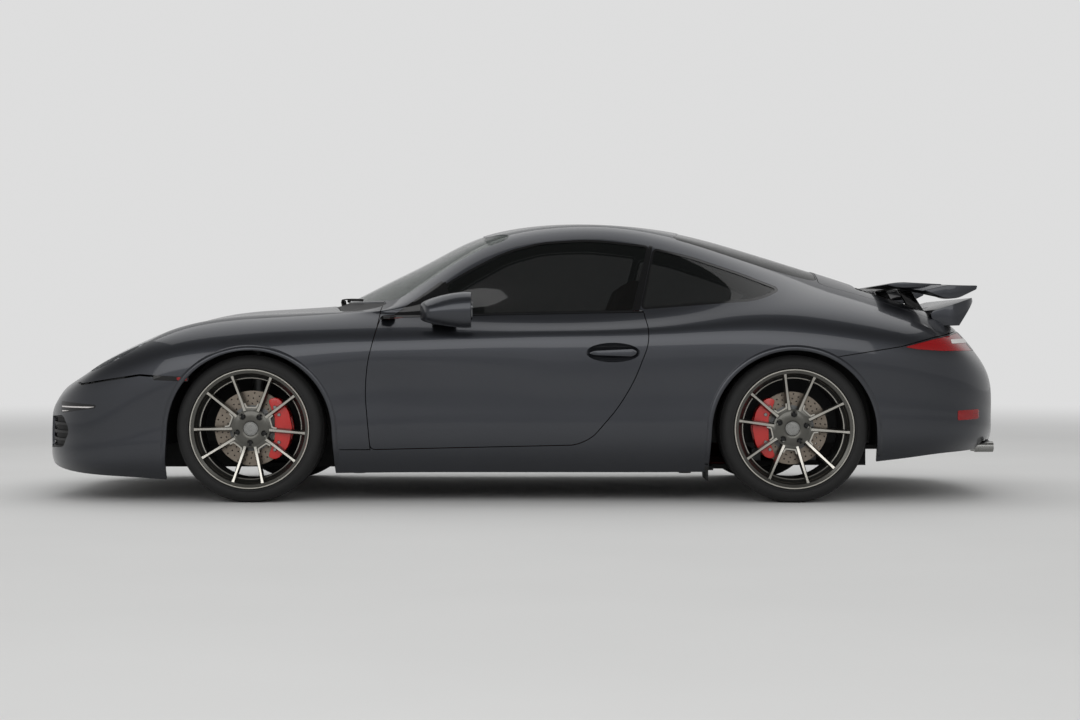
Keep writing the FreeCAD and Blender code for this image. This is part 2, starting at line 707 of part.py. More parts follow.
GRILLE_FRONT, GRILLE_BACK, GRILLE_HALF = -1585, -1815, across(400)
GRILLE_OPENING = [
    (along(GRILLE_FRONT), GRILLE_HALF, 0), (along(GRILLE_FRONT), -GRILLE_HALF, 0),
    (along(GRILLE_BACK), -GRILLE_HALF, 0), (along(GRILLE_BACK), GRILLE_HALF, 0)]
lid = shell.common(top_cut(ENGINE_LID, -HALF_GAP, 600)).cut(top_cut(GRILLE_OPENING, 0, 600))
lid = lid.cut(prism(REAR_BUMPER, "XZ", -1000, 1000, HALF_GAP))
DUCKTAIL_LOW = 800
DUCKTAIL = [
    (along(-1935), DUCKTAIL_LOW, 0), (along(-1890), 862, 60), (along(-2108), 931, 4),
    (along(-2114), 914, 4), (along(-2035), DUCKTAIL_LOW, 0)]
DUCKTAIL_TOP = [
    (along(-1800), 545, 0), (along(-1800), -545, 0), (along(-2010), -586, 60),
    (along(-2118), -530, 150), (along(-2118), 530, 150), (along(-2010), 586, 60)]
lip = prism(DUCKTAIL, "XZ", -600, 600).common(top_cut(DUCKTAIL_TOP, 0, 600))
keep("engine_lid", largest(lid.fuse(lip)))

# Slats across the lid's opening, in the body's curve, on two rails
SLAT_COUNT, SLAT_WIDE, SLAT_INSET, SLAT_DEPTH = 8, 10, 3, 12
slat_layer = body_layer(SLAT_INSET, SLAT_INSET + SLAT_DEPTH)
slat_half = GRILLE_HALF - GAP_FIT
slat_pitch = (GRILLE_FRONT - GRILLE_BACK) / (SLAT_COUNT + 1)
slats = []
for k in range(1, SLAT_COUNT + 1):
    slat_x = along(GRILLE_FRONT - k * slat_pitch)
    slab = box(slat_x - SLAT_WIDE / 2, slat_x + SLAT_WIDE / 2, -slat_half, slat_half, 600, 1200)
    slats.append(slat_layer.common(slab))
for y in (-250, 250):
    slab = box(along(GRILLE_BACK + 20), along(GRILLE_FRONT - 20), y - 6, y + 6, 600, 1200)
    slats.append(slat_layer.common(slab))
keep("engine_grille", largest(slats[0].multiFuse(slats[1:])))

# Raised blade on two struts, with upswept ends
BLADE = [
    (along(-1683), 992, 3), (along(-1760), 1003, 300), (along(-1955), 993, 2),
    (along(-1952), 984, 2), (along(-1760), 974, 300)]
BLADE_END = [
    (along(-1850), 962, 3), (along(-1960), 986, 60), (along(-2102), 984, 3),
    (along(-2096), 966, 3), (along(-1985), 912, 120)]
STRUT = [(along(-1790), 985, 0), (along(-1850), 985, 0), (along(-1930), 860, 0),
         (along(-1860), 860, 0)]
BLADE_HALF, BLADE_END_OUT = 565, 655
blade = [prism(BLADE, "XZ", -BLADE_HALF, BLADE_HALF)]
for low, high in ((BLADE_HALF - 8, BLADE_END_OUT), (-BLADE_END_OUT, 8 - BLADE_HALF)):
    blade.append(prism(BLADE_END, "XZ", low, high))
for y in (-320, 290):
    blade.append(prism(STRUT, "XZ", y, y + 30))
blade = blade[0].multiFuse(blade[1:]).cut(lid).cut(lip)
keep("rear_wing", largest(blade))

# Mirror and handle on the door
MIRROR = [(along(222), 862, 50), (along(232), 945, 60), (along(345), 925, 90),
          (along(424), 850, 60), (along(345), 815, 50)]
mirror = prism(MIRROR, "XZ", 868, 985)
mirror = mirror.makeChamfer(20, [e for e in mirror.Edges if abs(e.BoundBox.YLength) < 1])
foot = prism([(along(300), 790, 10), (along(330), 870, 10), (along(400), 850, 10),
              (along(395), 790, 10)], "XZ", 770, 900)
mirror = mirror.fuse(foot).cut(outer)
bar = side_cut(HANDLE_BAR).common(side_cut(HANDLE_RECESS, -GAP_FIT))
between = box(along(-517) + HANDLE_ENDS, along(-304) - HANDLE_ENDS, 300, 1000, 600, 760)
handle = body_layer(-7, size("handle_recess") - GAP_FIT).common(bar)
handle = largest(handle.cut(between.common(body_form(8, 1, 1))))
keep_both("door_fittings", Part.makeCompound([largest(mirror), handle]))

# Wheels: columns are name, axle x, track and tyre width
AXLES = [
    ("front", AXLE_FRONT, size("track_front"), size("tyre_width_front")),
    ("rear", AXLE_REAR, size("track_rear"), size("tyre_width_rear")),
]
RIM_R = size("rim_radius")
SEAT_R = RIM_R - size("rim_seat_depth")
FLANGE = size("rim_flange")


def tyre(axle):
    """The left tyre of an axle, seated on its rim."""
    outer_half = [("tyre_radius", "tread_" + axle), ("shoulder_radius", "side_" + axle),
                  ("rim_radius", "bead_" + axle), ("bead_radius", "bead_" + axle)]
    inner_half = [(radius, "-" + y) for radius, y in reversed(outer_half)]
    return turned_body("tyre_%s_left" % axle, outer_half + inner_half)


def rim_shape(axle_x, axle_y, width):
    """Barrel, hub and paired spokes of a wheel, as one casting."""
    bead = width / 2 - size("tyre_side_in") + GAP_FIT
    face = bead + FLANGE
    wall = SEAT_R - GAP_FIT
    inside = wall - size("rim_wall")
    barrel = ring([(-bead, wall), (bead, wall), (bead, RIM_R), (face, RIM_R),
                   (face, inside + size("rim_lip_in")), (face - 14, inside), (-bead, inside)],
                  axle_x, axle_y)
    hub_face = size("spoke_face_hub")
    hub_back = hub_face - size("hub_depth")
    hub = ring([(hub_back, size("hub_bore")), (hub_face, size("hub_bore")),
                (hub_face, size("hub_radius") - 12), (hub_face - 8, size("hub_radius")),
                (hub_back, size("hub_radius"))], axle_x, axle_y)
    pieces = [hub]
    pairs = int(size("spoke_pairs"))
    depth = size("spoke_depth")
    rim_face = face - size("spoke_face_rim")
    inner_r, outer_r = size("hub_radius") - 14, inside + size("rim_wall") / 2
    for k in range(pairs):
        for side_sign in (-1, 1):
            wires = []
            for r, y, w in ((inner_r, hub_face, size("spoke_width_hub")),
                            (outer_r, rim_face, size("spoke_width_rim"))):
                corners = [V(-w / 2, y, r), V(w / 2, y, r), V(w / 2, y - depth, r),
                           V(-w / 2, y - depth, r)]
                wires.append(Part.makePolygon(corners + [corners[0]]))
            spoke = Part.makeLoft(wires, True, True)
            angle = 360 * k / pairs + side_sign * size("spoke_spread")
            spoke.rotate(V(0, 0, 0), V(0, 1, 0), angle)
            spoke.translate(V(axle_x, axle_y, WHEEL_Z))
            pieces.append(spoke)
    rim = barrel.multiFuse(pieces)
    for k in range(pairs):
        turn = math.radians(360 * k / pairs)
        lug = Part.makeCylinder(size("lug_radius"), 40, V(
            axle_x + size("lug_circle") * math.sin(turn), axle_y + hub_face - 12,
            WHEEL_Z + size("lug_circle") * math.cos(turn)), V(0, 1, 0))
        rim = rim.cut(lug)
    return rim


def brake_disc(axle):
    """The left brake disc of an axle, with the hat that reaches the back of the hub."""
    radius = "disc_radius_" + axle
    return turned_body("brake_disc_%s_left" % axle, [
        ("disc_bore", "disc_back"), (radius, "disc_back"), (radius, "disc_front"),
        ("disc_hat_radius", "disc_front"), ("disc_hat_radius", "hat_face"),
        ("disc_bore", "hat_face")])


def caliper_shape(axle_x, axle_y, radius, toward):
    """Brake caliper over the disc's edge; toward is -1 behind the axle and 1 before it."""
    high = size("caliper_half_height")
    reach = radius + size("caliper_over")
    inner = size("caliper_inner")
    outline = []
    for angle in (-56, -28, 0, 28, 56):
        turn = math.radians(angle)
        outline.append((axle_x + toward * reach * math.cos(turn),
                        WHEEL_Z + reach * math.sin(turn), 0))
    outline += [(axle_x + toward * inner * 0.62, WHEEL_Z + high, 0),
                (axle_x + toward * inner, WHEEL_Z + 48, 0),
                (axle_x + toward * inner, WHEEL_Z - 48, 0),
                (axle_x + toward * inner * 0.62, WHEEL_Z - high, 0)]
    back, front = size("disc_back"), size("disc_back") + size("disc_thick")
    run, thick = size("running_gap"), size("caliper_thick")
    block = prism(outline, "XZ", axle_y + back - run - thick, axle_y + front + run + thick)
    slot = Part.makeCylinder(radius + run, front - back + 2 * run,
                             V(axle_x, axle_y + back - run, WHEEL_Z), V(0, 1, 0))
    return largest(block.cut(slot))


def upright_shape(axle_x, axle_y):
    """Hub carrier behind the disc, with its stub in the disc's bore."""
    face = size("disc_back") - size("running_gap")
    thick = size("upright_thick")
    carrier = Part.makeCylinder(size("upright_radius"), thick,
                                V(axle_x, axle_y + face - thick, WHEEL_Z), V(0, 1, 0))
    stub = Part.makeCylinder(size("disc_bore") - GAP_FIT, size("disc_thick"),
                             V(axle_x, axle_y + face - 5, WHEEL_Z), V(0, 1, 0))
    return carrier.fuse(stub)


for name, axle_x, track, width in AXLES:
    keep_both("rim_" + name, rim_shape(axle_x, track / 2, width))
    for kind, item in (("tyre_", tyre(name)), ("brake_disc_", brake_disc(name))):
        bound_place(item, "axle_" + name, "half_track_" + name, "tyre_radius")
        keep_pair(item, kind + name)

caliper = caliper_shape(AXLE_FRONT, size("track_front") / 2, size("disc_radius_front"), -1)
keep_both("caliper_front", caliper)
bridge_y = size("track_front") / 2 + size("disc_back") - size("running_gap")
pin_y = size("track_front") / 2 - size("kingpin_in")
ARM_Z, ARM_T = size("arm_height"), size("arm_thick")
mount = doc.addObject("Part::Box", "caliper_mount")
mount.Length, mount.Height = 130, 76
mount.setExpression("Width", "Sizes.upright_thick - Sizes.caliper_thick - Sizes.seat_gap")
mount.Placement.Base = V(AXLE_FRONT - 130, bridge_y - size("upright_thick"), WHEEL_Z - 38)
keep_pair(bound_fuse("front_knuckle_left", [
    mount,
    bound_rod("carrier", "upright_radius", (AXLE_FRONT, bridge_y - size("upright_thick"), WHEEL_Z),
              (AXLE_FRONT, bridge_y, WHEEL_Z)),
    bound_rod("stub", "stub_radius", (AXLE_FRONT, bridge_y - 5, WHEEL_Z),
              (AXLE_FRONT, bridge_y - 5 + size("disc_thick"), WHEEL_Z)),
    bound_rod("ball_joint", "ball_joint_radius", (AXLE_FRONT, pin_y, ARM_Z + ARM_T),
              (AXLE_FRONT, pin_y, WHEEL_Z)),
]), "front_knuckle")
rear_y = size("track_rear") / 2
caliper = caliper_shape(AXLE_REAR, rear_y, size("disc_radius_rear"), 1)
keep("calipers_rear", Part.makeCompound([caliper, mirrored(caliper)]))

# Lower arms and subframes, on feet that stand on the floor
LOW, THICK = size("floor_low"), size("floor_thick")
REAR_RISE = 15
LINER_RADIUS, LINER_WALL = WHEEL_Z + size("liner_clear"), size("liner_wall")


def arm_plate(axle_x, outer_y, inner_y, spread, z):
    """A triangular lower arm from its ball joint to two pivots on the subframe."""
    return prism([(axle_x - 30, outer_y + 20, 18), (axle_x + 30, outer_y + 20, 18),
                  (axle_x + spread, inner_y, 20), (axle_x - spread, inner_y, 20)],
                 "XY", z, z + ARM_T - GAP_FIT)


def axle_frame(axle_x, outer_y, inner_y, spread, z, floor_top):
    """Both lower arms and the cross member that carries them."""
    arm = arm_plate(axle_x, outer_y, inner_y - 10, spread, z)
    reach = spread + 30
    pieces = [arm, mirrored(arm)]
    for x in (axle_x - reach, axle_x + reach - 40):
        for y in (-inner_y, inner_y - 60):
            pieces.append(box(x, x + 40, y, y + 60, floor_top + GAP_FIT, z + ARM_T))
    cross = box(axle_x - reach, axle_x + reach, -inner_y, inner_y, z, z + ARM_T)
    return cross.multiFuse(pieces)


def damper(axle_x, y):
    """Damper from the lower arm to the top of the arch liner."""
    radius = size("damper_radius")
    top = WHEEL_Z + math.sqrt((LINER_RADIUS - LINER_WALL) ** 2 - radius ** 2) - GAP_FIT
    return rod((axle_x, y, ARM_Z + ARM_T / 2), (axle_x, y, top), radius)


damper_y = size("track_front") / 2 - size("damper_in")
front_frame = axle_frame(AXLE_FRONT, pin_y, 400, 120, ARM_Z, LOW + THICK)
front_damper = damper(AXLE_FRONT, damper_y)
keep("front_suspension", front_frame.multiFuse([front_damper, mirrored(front_damper)]))
rear_upright = upright_shape(AXLE_REAR, rear_y)
link = box(AXLE_REAR - 30, AXLE_REAR + 30, rear_y - 110, rear_y - 54, ARM_Z, WHEEL_Z)
bracket = box(AXLE_REAR, AXLE_REAR + 128, rear_y - 58, rear_y - 42.3, WHEEL_Z - 38, WHEEL_Z + 38)
rear_frame = axle_frame(AXLE_REAR, rear_y - 90, 520, 120, ARM_Z, LOW + REAR_RISE + THICK)
shaft = rod((AXLE_REAR, 300, WHEEL_Z), (AXLE_REAR, rear_y - 50, WHEEL_Z), 22)
rear_parts = [rear_upright, link, bracket, shaft]
rear_parts += [mirrored(item) for item in rear_parts]
keep("rear_suspension", largest(rear_frame.multiFuse(rear_parts)))

# Wheel arch liners: a half drum over each wheel and its inner wall
liners = []
for axle_x, inner_y in ((AXLE_FRONT, size("liner_inner_front")), (AXLE_REAR, size("liner_inner_rear"))):
    radius, wall = LINER_RADIUS, LINER_WALL
    outer_y = size("liner_outer")
    drum = Part.makeCylinder(radius, outer_y - inner_y, V(axle_x, inner_y, WHEEL_Z), V(0, 1, 0))
    bore = Part.makeCylinder(radius - wall, outer_y - inner_y,
                             V(axle_x, inner_y + wall, WHEEL_Z), V(0, 1, 0))
    liner = drum.cut(bore).common(box(axle_x - 500, axle_x + 500, 0, 1000, 255, 1000))
    window = Part.makeCylinder(150, 40, V(axle_x, inner_y - 20, WHEEL_Z), V(0, 1, 0))
    liner = largest(liner.cut(window).common(seat_form))
    liners += [liner, mirrored(liner)]
keep("arch_liners", Part.makeCompound(liners))

# Floor, bulkheads, tunnel, hinge posts and the walls of the tub and the engine bay. The
# floor narrows before the rear tyres.
WALL, TUB_WALL = size("bulkhead_thick"), size("tub_wall")
FRONT_WALL, REAR_WALL = along(size("bulkhead_front")), along(size("bulkhead_rear"))
wide, front_wide = size("floor_half_width"), size("liner_inner_front") - GAP_FIT
bay_wide = size("liner_inner_rear") - GAP_FIT
rear_wide, wall_top = size("rear_floor_half_width"), size("bulkhead_top")
tray_top = size("tray_top")
SILENCER_X, SILENCER_R = along(size("silencer_x")), size("silencer_radius")
PANEL_X = SILENCER_X + SILENCER_R + GAP_FIT
MEMBER = 150
DASH_HALF, REAR_PANEL_TOP = 655, DUCKTAIL_LOW - GAP_FIT
FLOOR_NARROW_X = AXLE_REAR + WHEEL_Z + 15
floor = box(FLOOR_NARROW_X, FRONT_WALL, -wide, wide, LOW, LOW + THICK)
floor_parts = [
    box(REAR_WALL, FLOOR_NARROW_X, -bay_wide, bay_wide, LOW, LOW + THICK),
    box(FRONT_WALL - WALL, along(2030), -front_wide, front_wide, LOW, LOW + THICK),
    box(along(-1600), REAR_WALL + WALL, -rear_wide, rear_wide,
        LOW + REAR_RISE, LOW + REAR_RISE + THICK),
    box(PANEL_X, along(-1560), -rear_wide, rear_wide, tray_top - THICK, tray_top),
    box(along(-1600), along(-1570), -rear_wide, rear_wide, LOW + REAR_RISE, tray_top),
    box(PANEL_X, PANEL_X + THICK, -420, 420, tray_top - THICK, REAR_PANEL_TOP),
    box(along(2000), along(2000) + THICK, -380, 380, LOW, FAR),
    box(FRONT_WALL - WALL, FRONT_WALL, -700, 700, LOW, 862),
    box(REAR_WALL, REAR_WALL + WALL, -bay_wide, bay_wide, LOW, wall_top),
    box(along(-1380), REAR_WALL + WALL, -480, 480, wall_top - WALL, wall_top),
    box(REAR_WALL, FRONT_WALL, -size("tunnel_half_width"), size("tunnel_half_width"),
        LOW, size("tunnel_top")),
]
# Upright walls on both sides: x from, x to, y from, y to, z from, z to
POST_X = 709
side_walls = [
    (FRONT_WALL - WALL, AXLE_FRONT - MEMBER, front_wide - TUB_WALL, front_wide, LOW, 560),
    (AXLE_FRONT + MEMBER, along(2020), front_wide - TUB_WALL, front_wide, LOW, 560),
    (AXLE_FRONT - MEMBER, AXLE_FRONT + MEMBER, front_wide - TUB_WALL, front_wide, 500, 560),
    (AXLE_REAR - MEMBER - 90, AXLE_REAR - MEMBER - 10, rear_wide, bay_wide,
     LOW + REAR_RISE, 600),
    (AXLE_REAR - MEMBER - 90, AXLE_REAR - MEMBER - 10, rear_wide - 10, bay_wide,
     LOW + REAR_RISE, LOW + REAR_RISE + THICK),
    (along(-800), along(800), wide - 20, 800, LOW + 12, LOW + THICK + 60),
    (along(POST_X), FRONT_WALL, DASH_HALF + GAP_FIT, 900, LOW + 12, 760),
]
for x0, x1, y0, y1, z0, z1 in side_walls:
    wall = box(x0, x1, y0, y1, z0, z1)
    floor_parts += [wall, mirrored(wall)]
# Hinge brackets from the posts to the doors' front edges
bracket_cut = side_cut(DOOR, GAP_FIT - HALF_GAP - size("door_flange"))
for low in (330, 640):
    bracket = box(along(600), along(POST_X + 5), 716, 780, low, low + 70).cut(bracket_cut)
    floor_parts += [bracket, mirrored(bracket)]
floor = floor.multiFuse(floor_parts).common(seat_form)
JACK_X, JACK_Y = (along(745), along(-745)), 715
pads = []
for x in JACK_X:
    for y in (-JACK_Y, JACK_Y):
        pads.append(rod((x, y, size("jack_pad_low")), (x, y, LOW + THICK),
                        size("jack_pad_radius")))
keep("floor_pan", largest(floor.multiFuse(pads)))

# Engine on its tray, and the exhaust behind it
engine = doc.addObject("Part::Box", "engine_block")
for side_name in ("length", "width", "height"):
    engine.setExpression(side_name.capitalize(), cell("engine_" + side_name))
bound_place(engine, "engine_rear", "engine_right", "engine_low")
keep_item(engine)
silencer_z, pipe_z = size("silencer_height"), size("tailpipe_height")
pipes = [bound_rod("silencer", "silencer_radius", (SILENCER_X, -420, silencer_z),
                   (SILENCER_X, 420, silencer_z))]
bores = []
for side_name, side_sign in (("left", 1), ("right", -1)):
    pipes.append(bound_rod("cross_pipe_" + side_name, "pipe_radius",
                           (SILENCER_X, side_sign * 380, pipe_z + 35),
                           (SILENCER_X, side_sign * 590, pipe_z + 5)))
    for k, y in enumerate((500, 572)):
        place, end = side_sign * across(y), "%s_%d" % (side_name, k)
        pipes.append(bound_rod("tip_" + end, "tailpipe_radius", (SILENCER_X - 10, place, pipe_z),
                               (along(-2190), place, pipe_z)))
        bores.append(bound_rod("tip_bore_" + end, "tailpipe_bore",
                               (along(-2130), place, pipe_z), (along(-2200), place, pipe_z)))
exhaust = doc.addObject("Part::Cut", "exhaust")
exhaust.Base = bound_fuse("exhaust_pipes", pipes)
exhaust.Tool = bound_fuse("exhaust_bores", bores)
keep_item(exhaust)

# Seats
SEAT_Y, SEAT_HALF = size("seat_centre"), size("seat_half_width")
CUSHION = [(along(-290), 232, 60), (along(250), 250, 60), (along(265), 385, 90),
           (along(-270), 340, 40)]
BACK = [(along(-300), 250, 60), (along(-215), 320, 80), (along(-400), 800, 200),
        (along(-500), 1060, 60), (along(-585), 1050, 60), (along(-500), 720, 300)]
cushion = prism(CUSHION, "XZ", SEAT_Y - SEAT_HALF, SEAT_Y + SEAT_HALF)
back = prism(BACK, "XZ", SEAT_Y - SEAT_HALF + 15, SEAT_Y + SEAT_HALF - 15)
seat = cushion.fuse(back)
seat = seat.fuse(box(along(-240), along(220), SEAT_Y - 190, SEAT_Y + 190,
                     LOW + THICK + GAP_FIT, 260))
seats = [seat, mirrored(seat)]
REAR_SEAT_BACK = REAR_WALL + WALL + GAP_FIT
REAR_SEAT = [(REAR_SEAT_BACK, 400, 30), (along(-700), 380, 60), (along(-690), 480, 60),
             (along(-860), 470, 60), (along(-935), 770, 60), (REAR_SEAT_BACK, 770, 20)]
for y in (130, -560):
    seats.append(prism(REAR_SEAT, "XZ", y, y + 430))
keep("seats", Part.makeCompound(seats))

# Dashboard with its column, and the steering wheel
DASH_FRONT = FRONT_WALL - WALL - GAP_FIT
DASH = [(DASH_FRONT, 560, 20), (DASH_FRONT, 830, 40), (along(600), 862, 80),
        (along(430), 800, 60), (along(400), 720, 60), (along(520), 560, 60)]
tilt = math.radians(size("steering_tilt"))
WHEEL_Y = size("seat_centre")
wheel_centre = V(along(235), WHEEL_Y, 770)
axis = V(math.cos(tilt), 0, -math.sin(tilt))
HUB_START = 4
hub_end = wheel_centre + axis * (HUB_START + size("steering_hub_long"))
column = Part.makeCylinder(32, 200, hub_end + axis * GAP_FIT, axis)
dash = prism(DASH, "XZ", -DASH_HALF, DASH_HALF).fuse(column)
keep("dashboard", largest(dash.common(body_form(SKIN + 26, 1, 1))))
grip_half = [("grip_inner", "grip_corner"), ("grip_near", "steering_wheel_grip"),
             ("grip_far", "steering_wheel_grip"), ("grip_outer", "grip_corner")]
grip = turned_body("steering_grip", grip_half + [(r, "-" + y) for r, y in reversed(grip_half)])
grip.Placement = FreeCAD.Placement(wheel_centre, FreeCAD.Rotation(V(0, 1, 0), axis))
steering_parts = [grip, bound_rod("steering_hub", "steering_hub_radius",
                                  wheel_centre + axis * HUB_START, hub_end)]
tilted = FreeCAD.Rotation(V(0, 1, 0), size("steering_tilt"))
SPOKE_THICK, SPOKE_WIDE, SPOKE_START = 13, 34, 30
for k, angle in enumerate((-8, 188, 270)):
    spoke = doc.addObject("Part::Box", "steering_spoke_%d" % k)
    spoke.Length, spoke.Width = SPOKE_THICK, SPOKE_WIDE
    spoke.setExpression("Height", "Sizes.steering_wheel_radius - %d" % SPOKE_START)
    turn = tilted.multiply(FreeCAD.Rotation(V(1, 0, 0), 90 - angle))
    corner = turn.multVec(V(-SPOKE_THICK / 2, -SPOKE_WIDE / 2, SPOKE_START))
    spoke.Placement = FreeCAD.Placement(wheel_centre + axis * 8 + corner, turn)
    steering_parts.append(spoke)
keep_item(bound_fuse("steering_wheel", steering_parts))

# Checks and export
doc.recompute()
for item in doc.Objects:
    if "Invalid" in item.State or "Error" in item.State:
        raise RuntimeError(item.Label + " did not compute")
for item in nodes:
    if item.Shape.isNull() or not item.Shape.isValid():
        raise RuntimeError(item.Label + " has no valid shape")

os.makedirs("parts", exist_ok=True)
for item in nodes:
    item.Shape.exportStep("parts/%s.step" % item.Label)
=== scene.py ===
"""Studio scene of a rear-engined coupe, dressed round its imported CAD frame.

Metres in Blender, with the tables below in millimetres. +X points to the nose, +Y to the
left side and +Z up.
"""
import math

import bmesh
import bpy
from mathutils import Matrix, Vector
from mathutils.bvhtree import BVHTree
from mathutils.interpolate import poly_3d_calc


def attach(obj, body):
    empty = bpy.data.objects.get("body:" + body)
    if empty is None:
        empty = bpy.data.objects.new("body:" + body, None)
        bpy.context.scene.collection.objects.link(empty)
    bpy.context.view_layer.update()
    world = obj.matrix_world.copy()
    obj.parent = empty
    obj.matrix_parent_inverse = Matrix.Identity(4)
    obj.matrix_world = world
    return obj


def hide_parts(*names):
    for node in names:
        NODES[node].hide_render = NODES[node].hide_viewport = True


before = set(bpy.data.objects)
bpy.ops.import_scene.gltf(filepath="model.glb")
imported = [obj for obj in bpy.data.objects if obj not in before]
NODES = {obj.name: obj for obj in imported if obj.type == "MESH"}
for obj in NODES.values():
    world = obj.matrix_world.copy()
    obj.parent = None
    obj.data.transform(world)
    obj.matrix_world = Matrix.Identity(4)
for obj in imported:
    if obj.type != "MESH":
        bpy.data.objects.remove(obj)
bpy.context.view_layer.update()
MM = 0.001

# Colours and materials


def linear(code):
    """A six-digit sRGB colour as linear RGBA."""
    parts = [int(code[k:k + 2], 16) / 255 for k in (0, 2, 4)]
    return [c / 12.92 if c <= 0.04045 else ((c + 0.055) / 1.055) ** 2.4 for c in parts] + [1.0]


def add(tree, kind, inputs=None, **settings):
    """Add a shader node; inputs maps a socket to a value or to another node's output."""
    node = tree.nodes.new("ShaderNode" + kind)
    for name, value in settings.items():
        setattr(node, name, value)
    for socket, value in (inputs or {}).items():
        if isinstance(value, bpy.types.NodeSocket):
            tree.links.new(value, node.inputs[socket])
        else:
            node.inputs[socket].default_value = value
    return node


def finish(name, dark, light, rough, spread=0.05, patch_mm=80, grain_mm=1.0, rise_mm=0.02,
           **sockets):
    """A material whose colour and roughness vary in patches, with a fine grain for bump."""
    made = bpy.data.materials.new(name)
    made.use_nodes = True
    tree = made.node_tree
    tree.nodes.clear()
    place = add(tree, "TexCoord").outputs["Object"]
    patches = add(tree, "TexNoise", {"Vector": place, "Scale": 1000 / patch_mm, "Detail": 4.0})
    colour = add(tree, "Mix", {"Factor": patches.outputs["Fac"], "A": linear(dark),
                               "B": linear(light)}, data_type="RGBA")
    rough_range = add(tree, "MapRange", {"Value": patches.outputs["Fac"],
                                         "To Min": max(rough - spread, 0.0),
                                         "To Max": min(rough + spread, 1.0)})
    grain = add(tree, "TexNoise", {"Vector": place, "Scale": 1000 / grain_mm, "Detail": 2.0})
    bump = add(tree, "Bump", {"Height": grain.outputs["Fac"], "Strength": 0.5,
                              "Distance": rise_mm * MM})
    shader = add(tree, "BsdfPrincipled", {"Base Color": colour.outputs["Result"],
                                          "Roughness": rough_range.outputs["Result"],
                                          "Normal": bump.outputs["Normal"]})
    for socket, value in sockets.items():
        shader.inputs[socket.replace("_", " ")].default_value = value
    add(tree, "OutputMaterial", {"Surface": shader.outputs["BSDF"]})
    return made


# Metallic clear-coated paint: fine flakes under a glossy layer
PAINT = finish("grey_metallic_paint", "393b40", "3f4146", 0.38, 0.02, 400, 0.6, 0.004,
               Metallic=0.9, Coat_Weight=0.7, Coat_Roughness=0.06)
# Injection-moulded plastic with a polished black face
GLOSS_BLACK = finish("gloss_black_plastic", "0b0b0c", "101011", 0.12, 0.03, 120, 1.5, 0.002)
# Moulded black plastic with a leather-like grain
TRIM = finish("moulded_black_trim", "131313", "1b1b1c", 0.6, 0.08, 60, 1.2, 0.05)
# Extruded rubber, matt black
RUBBER = finish("black_rubber_seal", "0c0c0c", "131313", 0.75, 0.06, 40, 0.8, 0.03)
# Moulded tyre rubber, greyer where it is dusty
TYRE = finish("tyre_rubber", "101010", "1a1a1a", 0.72, 0.08, 50, 1.5, 0.05)
# Castings under sprayed metallic enamel: a soft satin glint
RIM_GREY = finish("grey_metallic_wheel_enamel", "55544f", "5f5e59", 0.3, 0.04, 60, 0.8, 0.005,
                  Metallic=0.85, Coat_Weight=0.4, Coat_Roughness=0.1)
# The same wheel enamel, duller, and painted darker as painted shade inside the barrel and the lug cups
SHADED_BARREL_ENAMEL = finish("barrel_enamel_painted_shade", "3a3a38", "444442", 0.4, 0.05, 60, 0.8, 0.005,
                Metallic=0.8)
# Machine-turned aluminium, bright and bare
MACHINED = finish("machined_aluminium", "b9b6ae", "c9c6be", 0.25, 0.05, 30, 0.5, 0.006,
                  Metallic=1.0)
# Ground cast iron, tanned by heat and pad dust
IRON = finish("ground_cast_iron", "7d746a", "93897d", 0.38, 0.06, 20, 0.6, 0.01, Metallic=0.9)
# Castings under thick sprayed enamel, glossy red
CALIPER_RED = finish("red_caliper_enamel", "c01510", "cc1c14", 0.3, 0.05, 60, 1.5, 0.01,
                     Coat_Weight=0.6, Coat_Roughness=0.1)
# Brushed stainless steel: fine lines blur what it reflects
STEEL = finish("brushed_stainless_steel", "8f8f8d", "a3a3a0", 0.28, 0.08, 15, 0.7, 0.01,
               Metallic=1.0)
# Sand-cast aluminium, dull and grainy
CAST = finish("cast_aluminium", "6d6e6e", "7d7e7e", 0.5, 0.08, 30, 1.2, 0.04, Metallic=0.7)
# Sprayed stone-chip coating, coarse and matt
UNDERBODY = finish("underbody_coating", "151515", "1d1d1d", 0.8, 0.08, 60, 2.5, 0.2)
# Float glass panes, thin enough to look straight through
GLASS_CLEAR = finish("green_tinted_glass", "2a3a33", "2d3d36", 0.02, 0.01, 500, 5.0, 0.0,
                     Alpha=0.42, IOR=1.52)
GLASS_DARK = finish("dark_tinted_glass", "050807", "070a09", 0.02, 0.01, 500, 5.0, 0.0,
                    Alpha=0.66, IOR=1.52)
# Moulded polycarbonate and acrylic: clear, or dyed through, with polished faces
LENS = finish("clear_polycarbonate_lens", "50555a", "565b60", 0.03, 0.01, 500, 5.0, 0.0,
              Alpha=0.22, IOR=1.58)
LENS_RED = finish("red_acrylic_lens", "8e0b10", "a00d12", 0.08, 0.02, 200, 5.0, 0.0,
                  Alpha=0.85, IOR=1.49, Coat_Weight=0.5, Coat_Roughness=0.03)
LENS_WHITE = finish("white_acrylic_lens", "d8d4d2", "e4e0de", 0.12, 0.02, 200, 5.0, 0.0)
# Plastic under vacuum-laid aluminium, mirror bright
REFLECTOR = finish("aluminised_reflector", "a9acb0", "b5b8bc", 0.12, 0.04, 30, 3.0, 0.0,
                   Metallic=1.0)
# Pebbled hides with a soft sheen; the grain is drawn coarse enough to show
RED_LEATHER = finish("red_grained_leather", "5e1712", "6c1d16", 0.45, 0.07, 50, 1.6, 0.12)
BLACK_LEATHER = finish("black_grained_leather", "141313", "1c1b1b", 0.5, 0.07, 50, 1.6, 0.12)
# Knitted cloth, matt
HEADLINER = finish("dark_headliner_cloth", "1d1d1f", "242426", 0.9, 0.05, 60, 1.0, 0.1)
# Cut pile, matt and deep, its tufts drawn 2 mm apart so that they show
CARPET = finish("red_cut_pile_carpet", "47130f", "551813", 0.95, 0.04, 40, 2.0, 0.6)

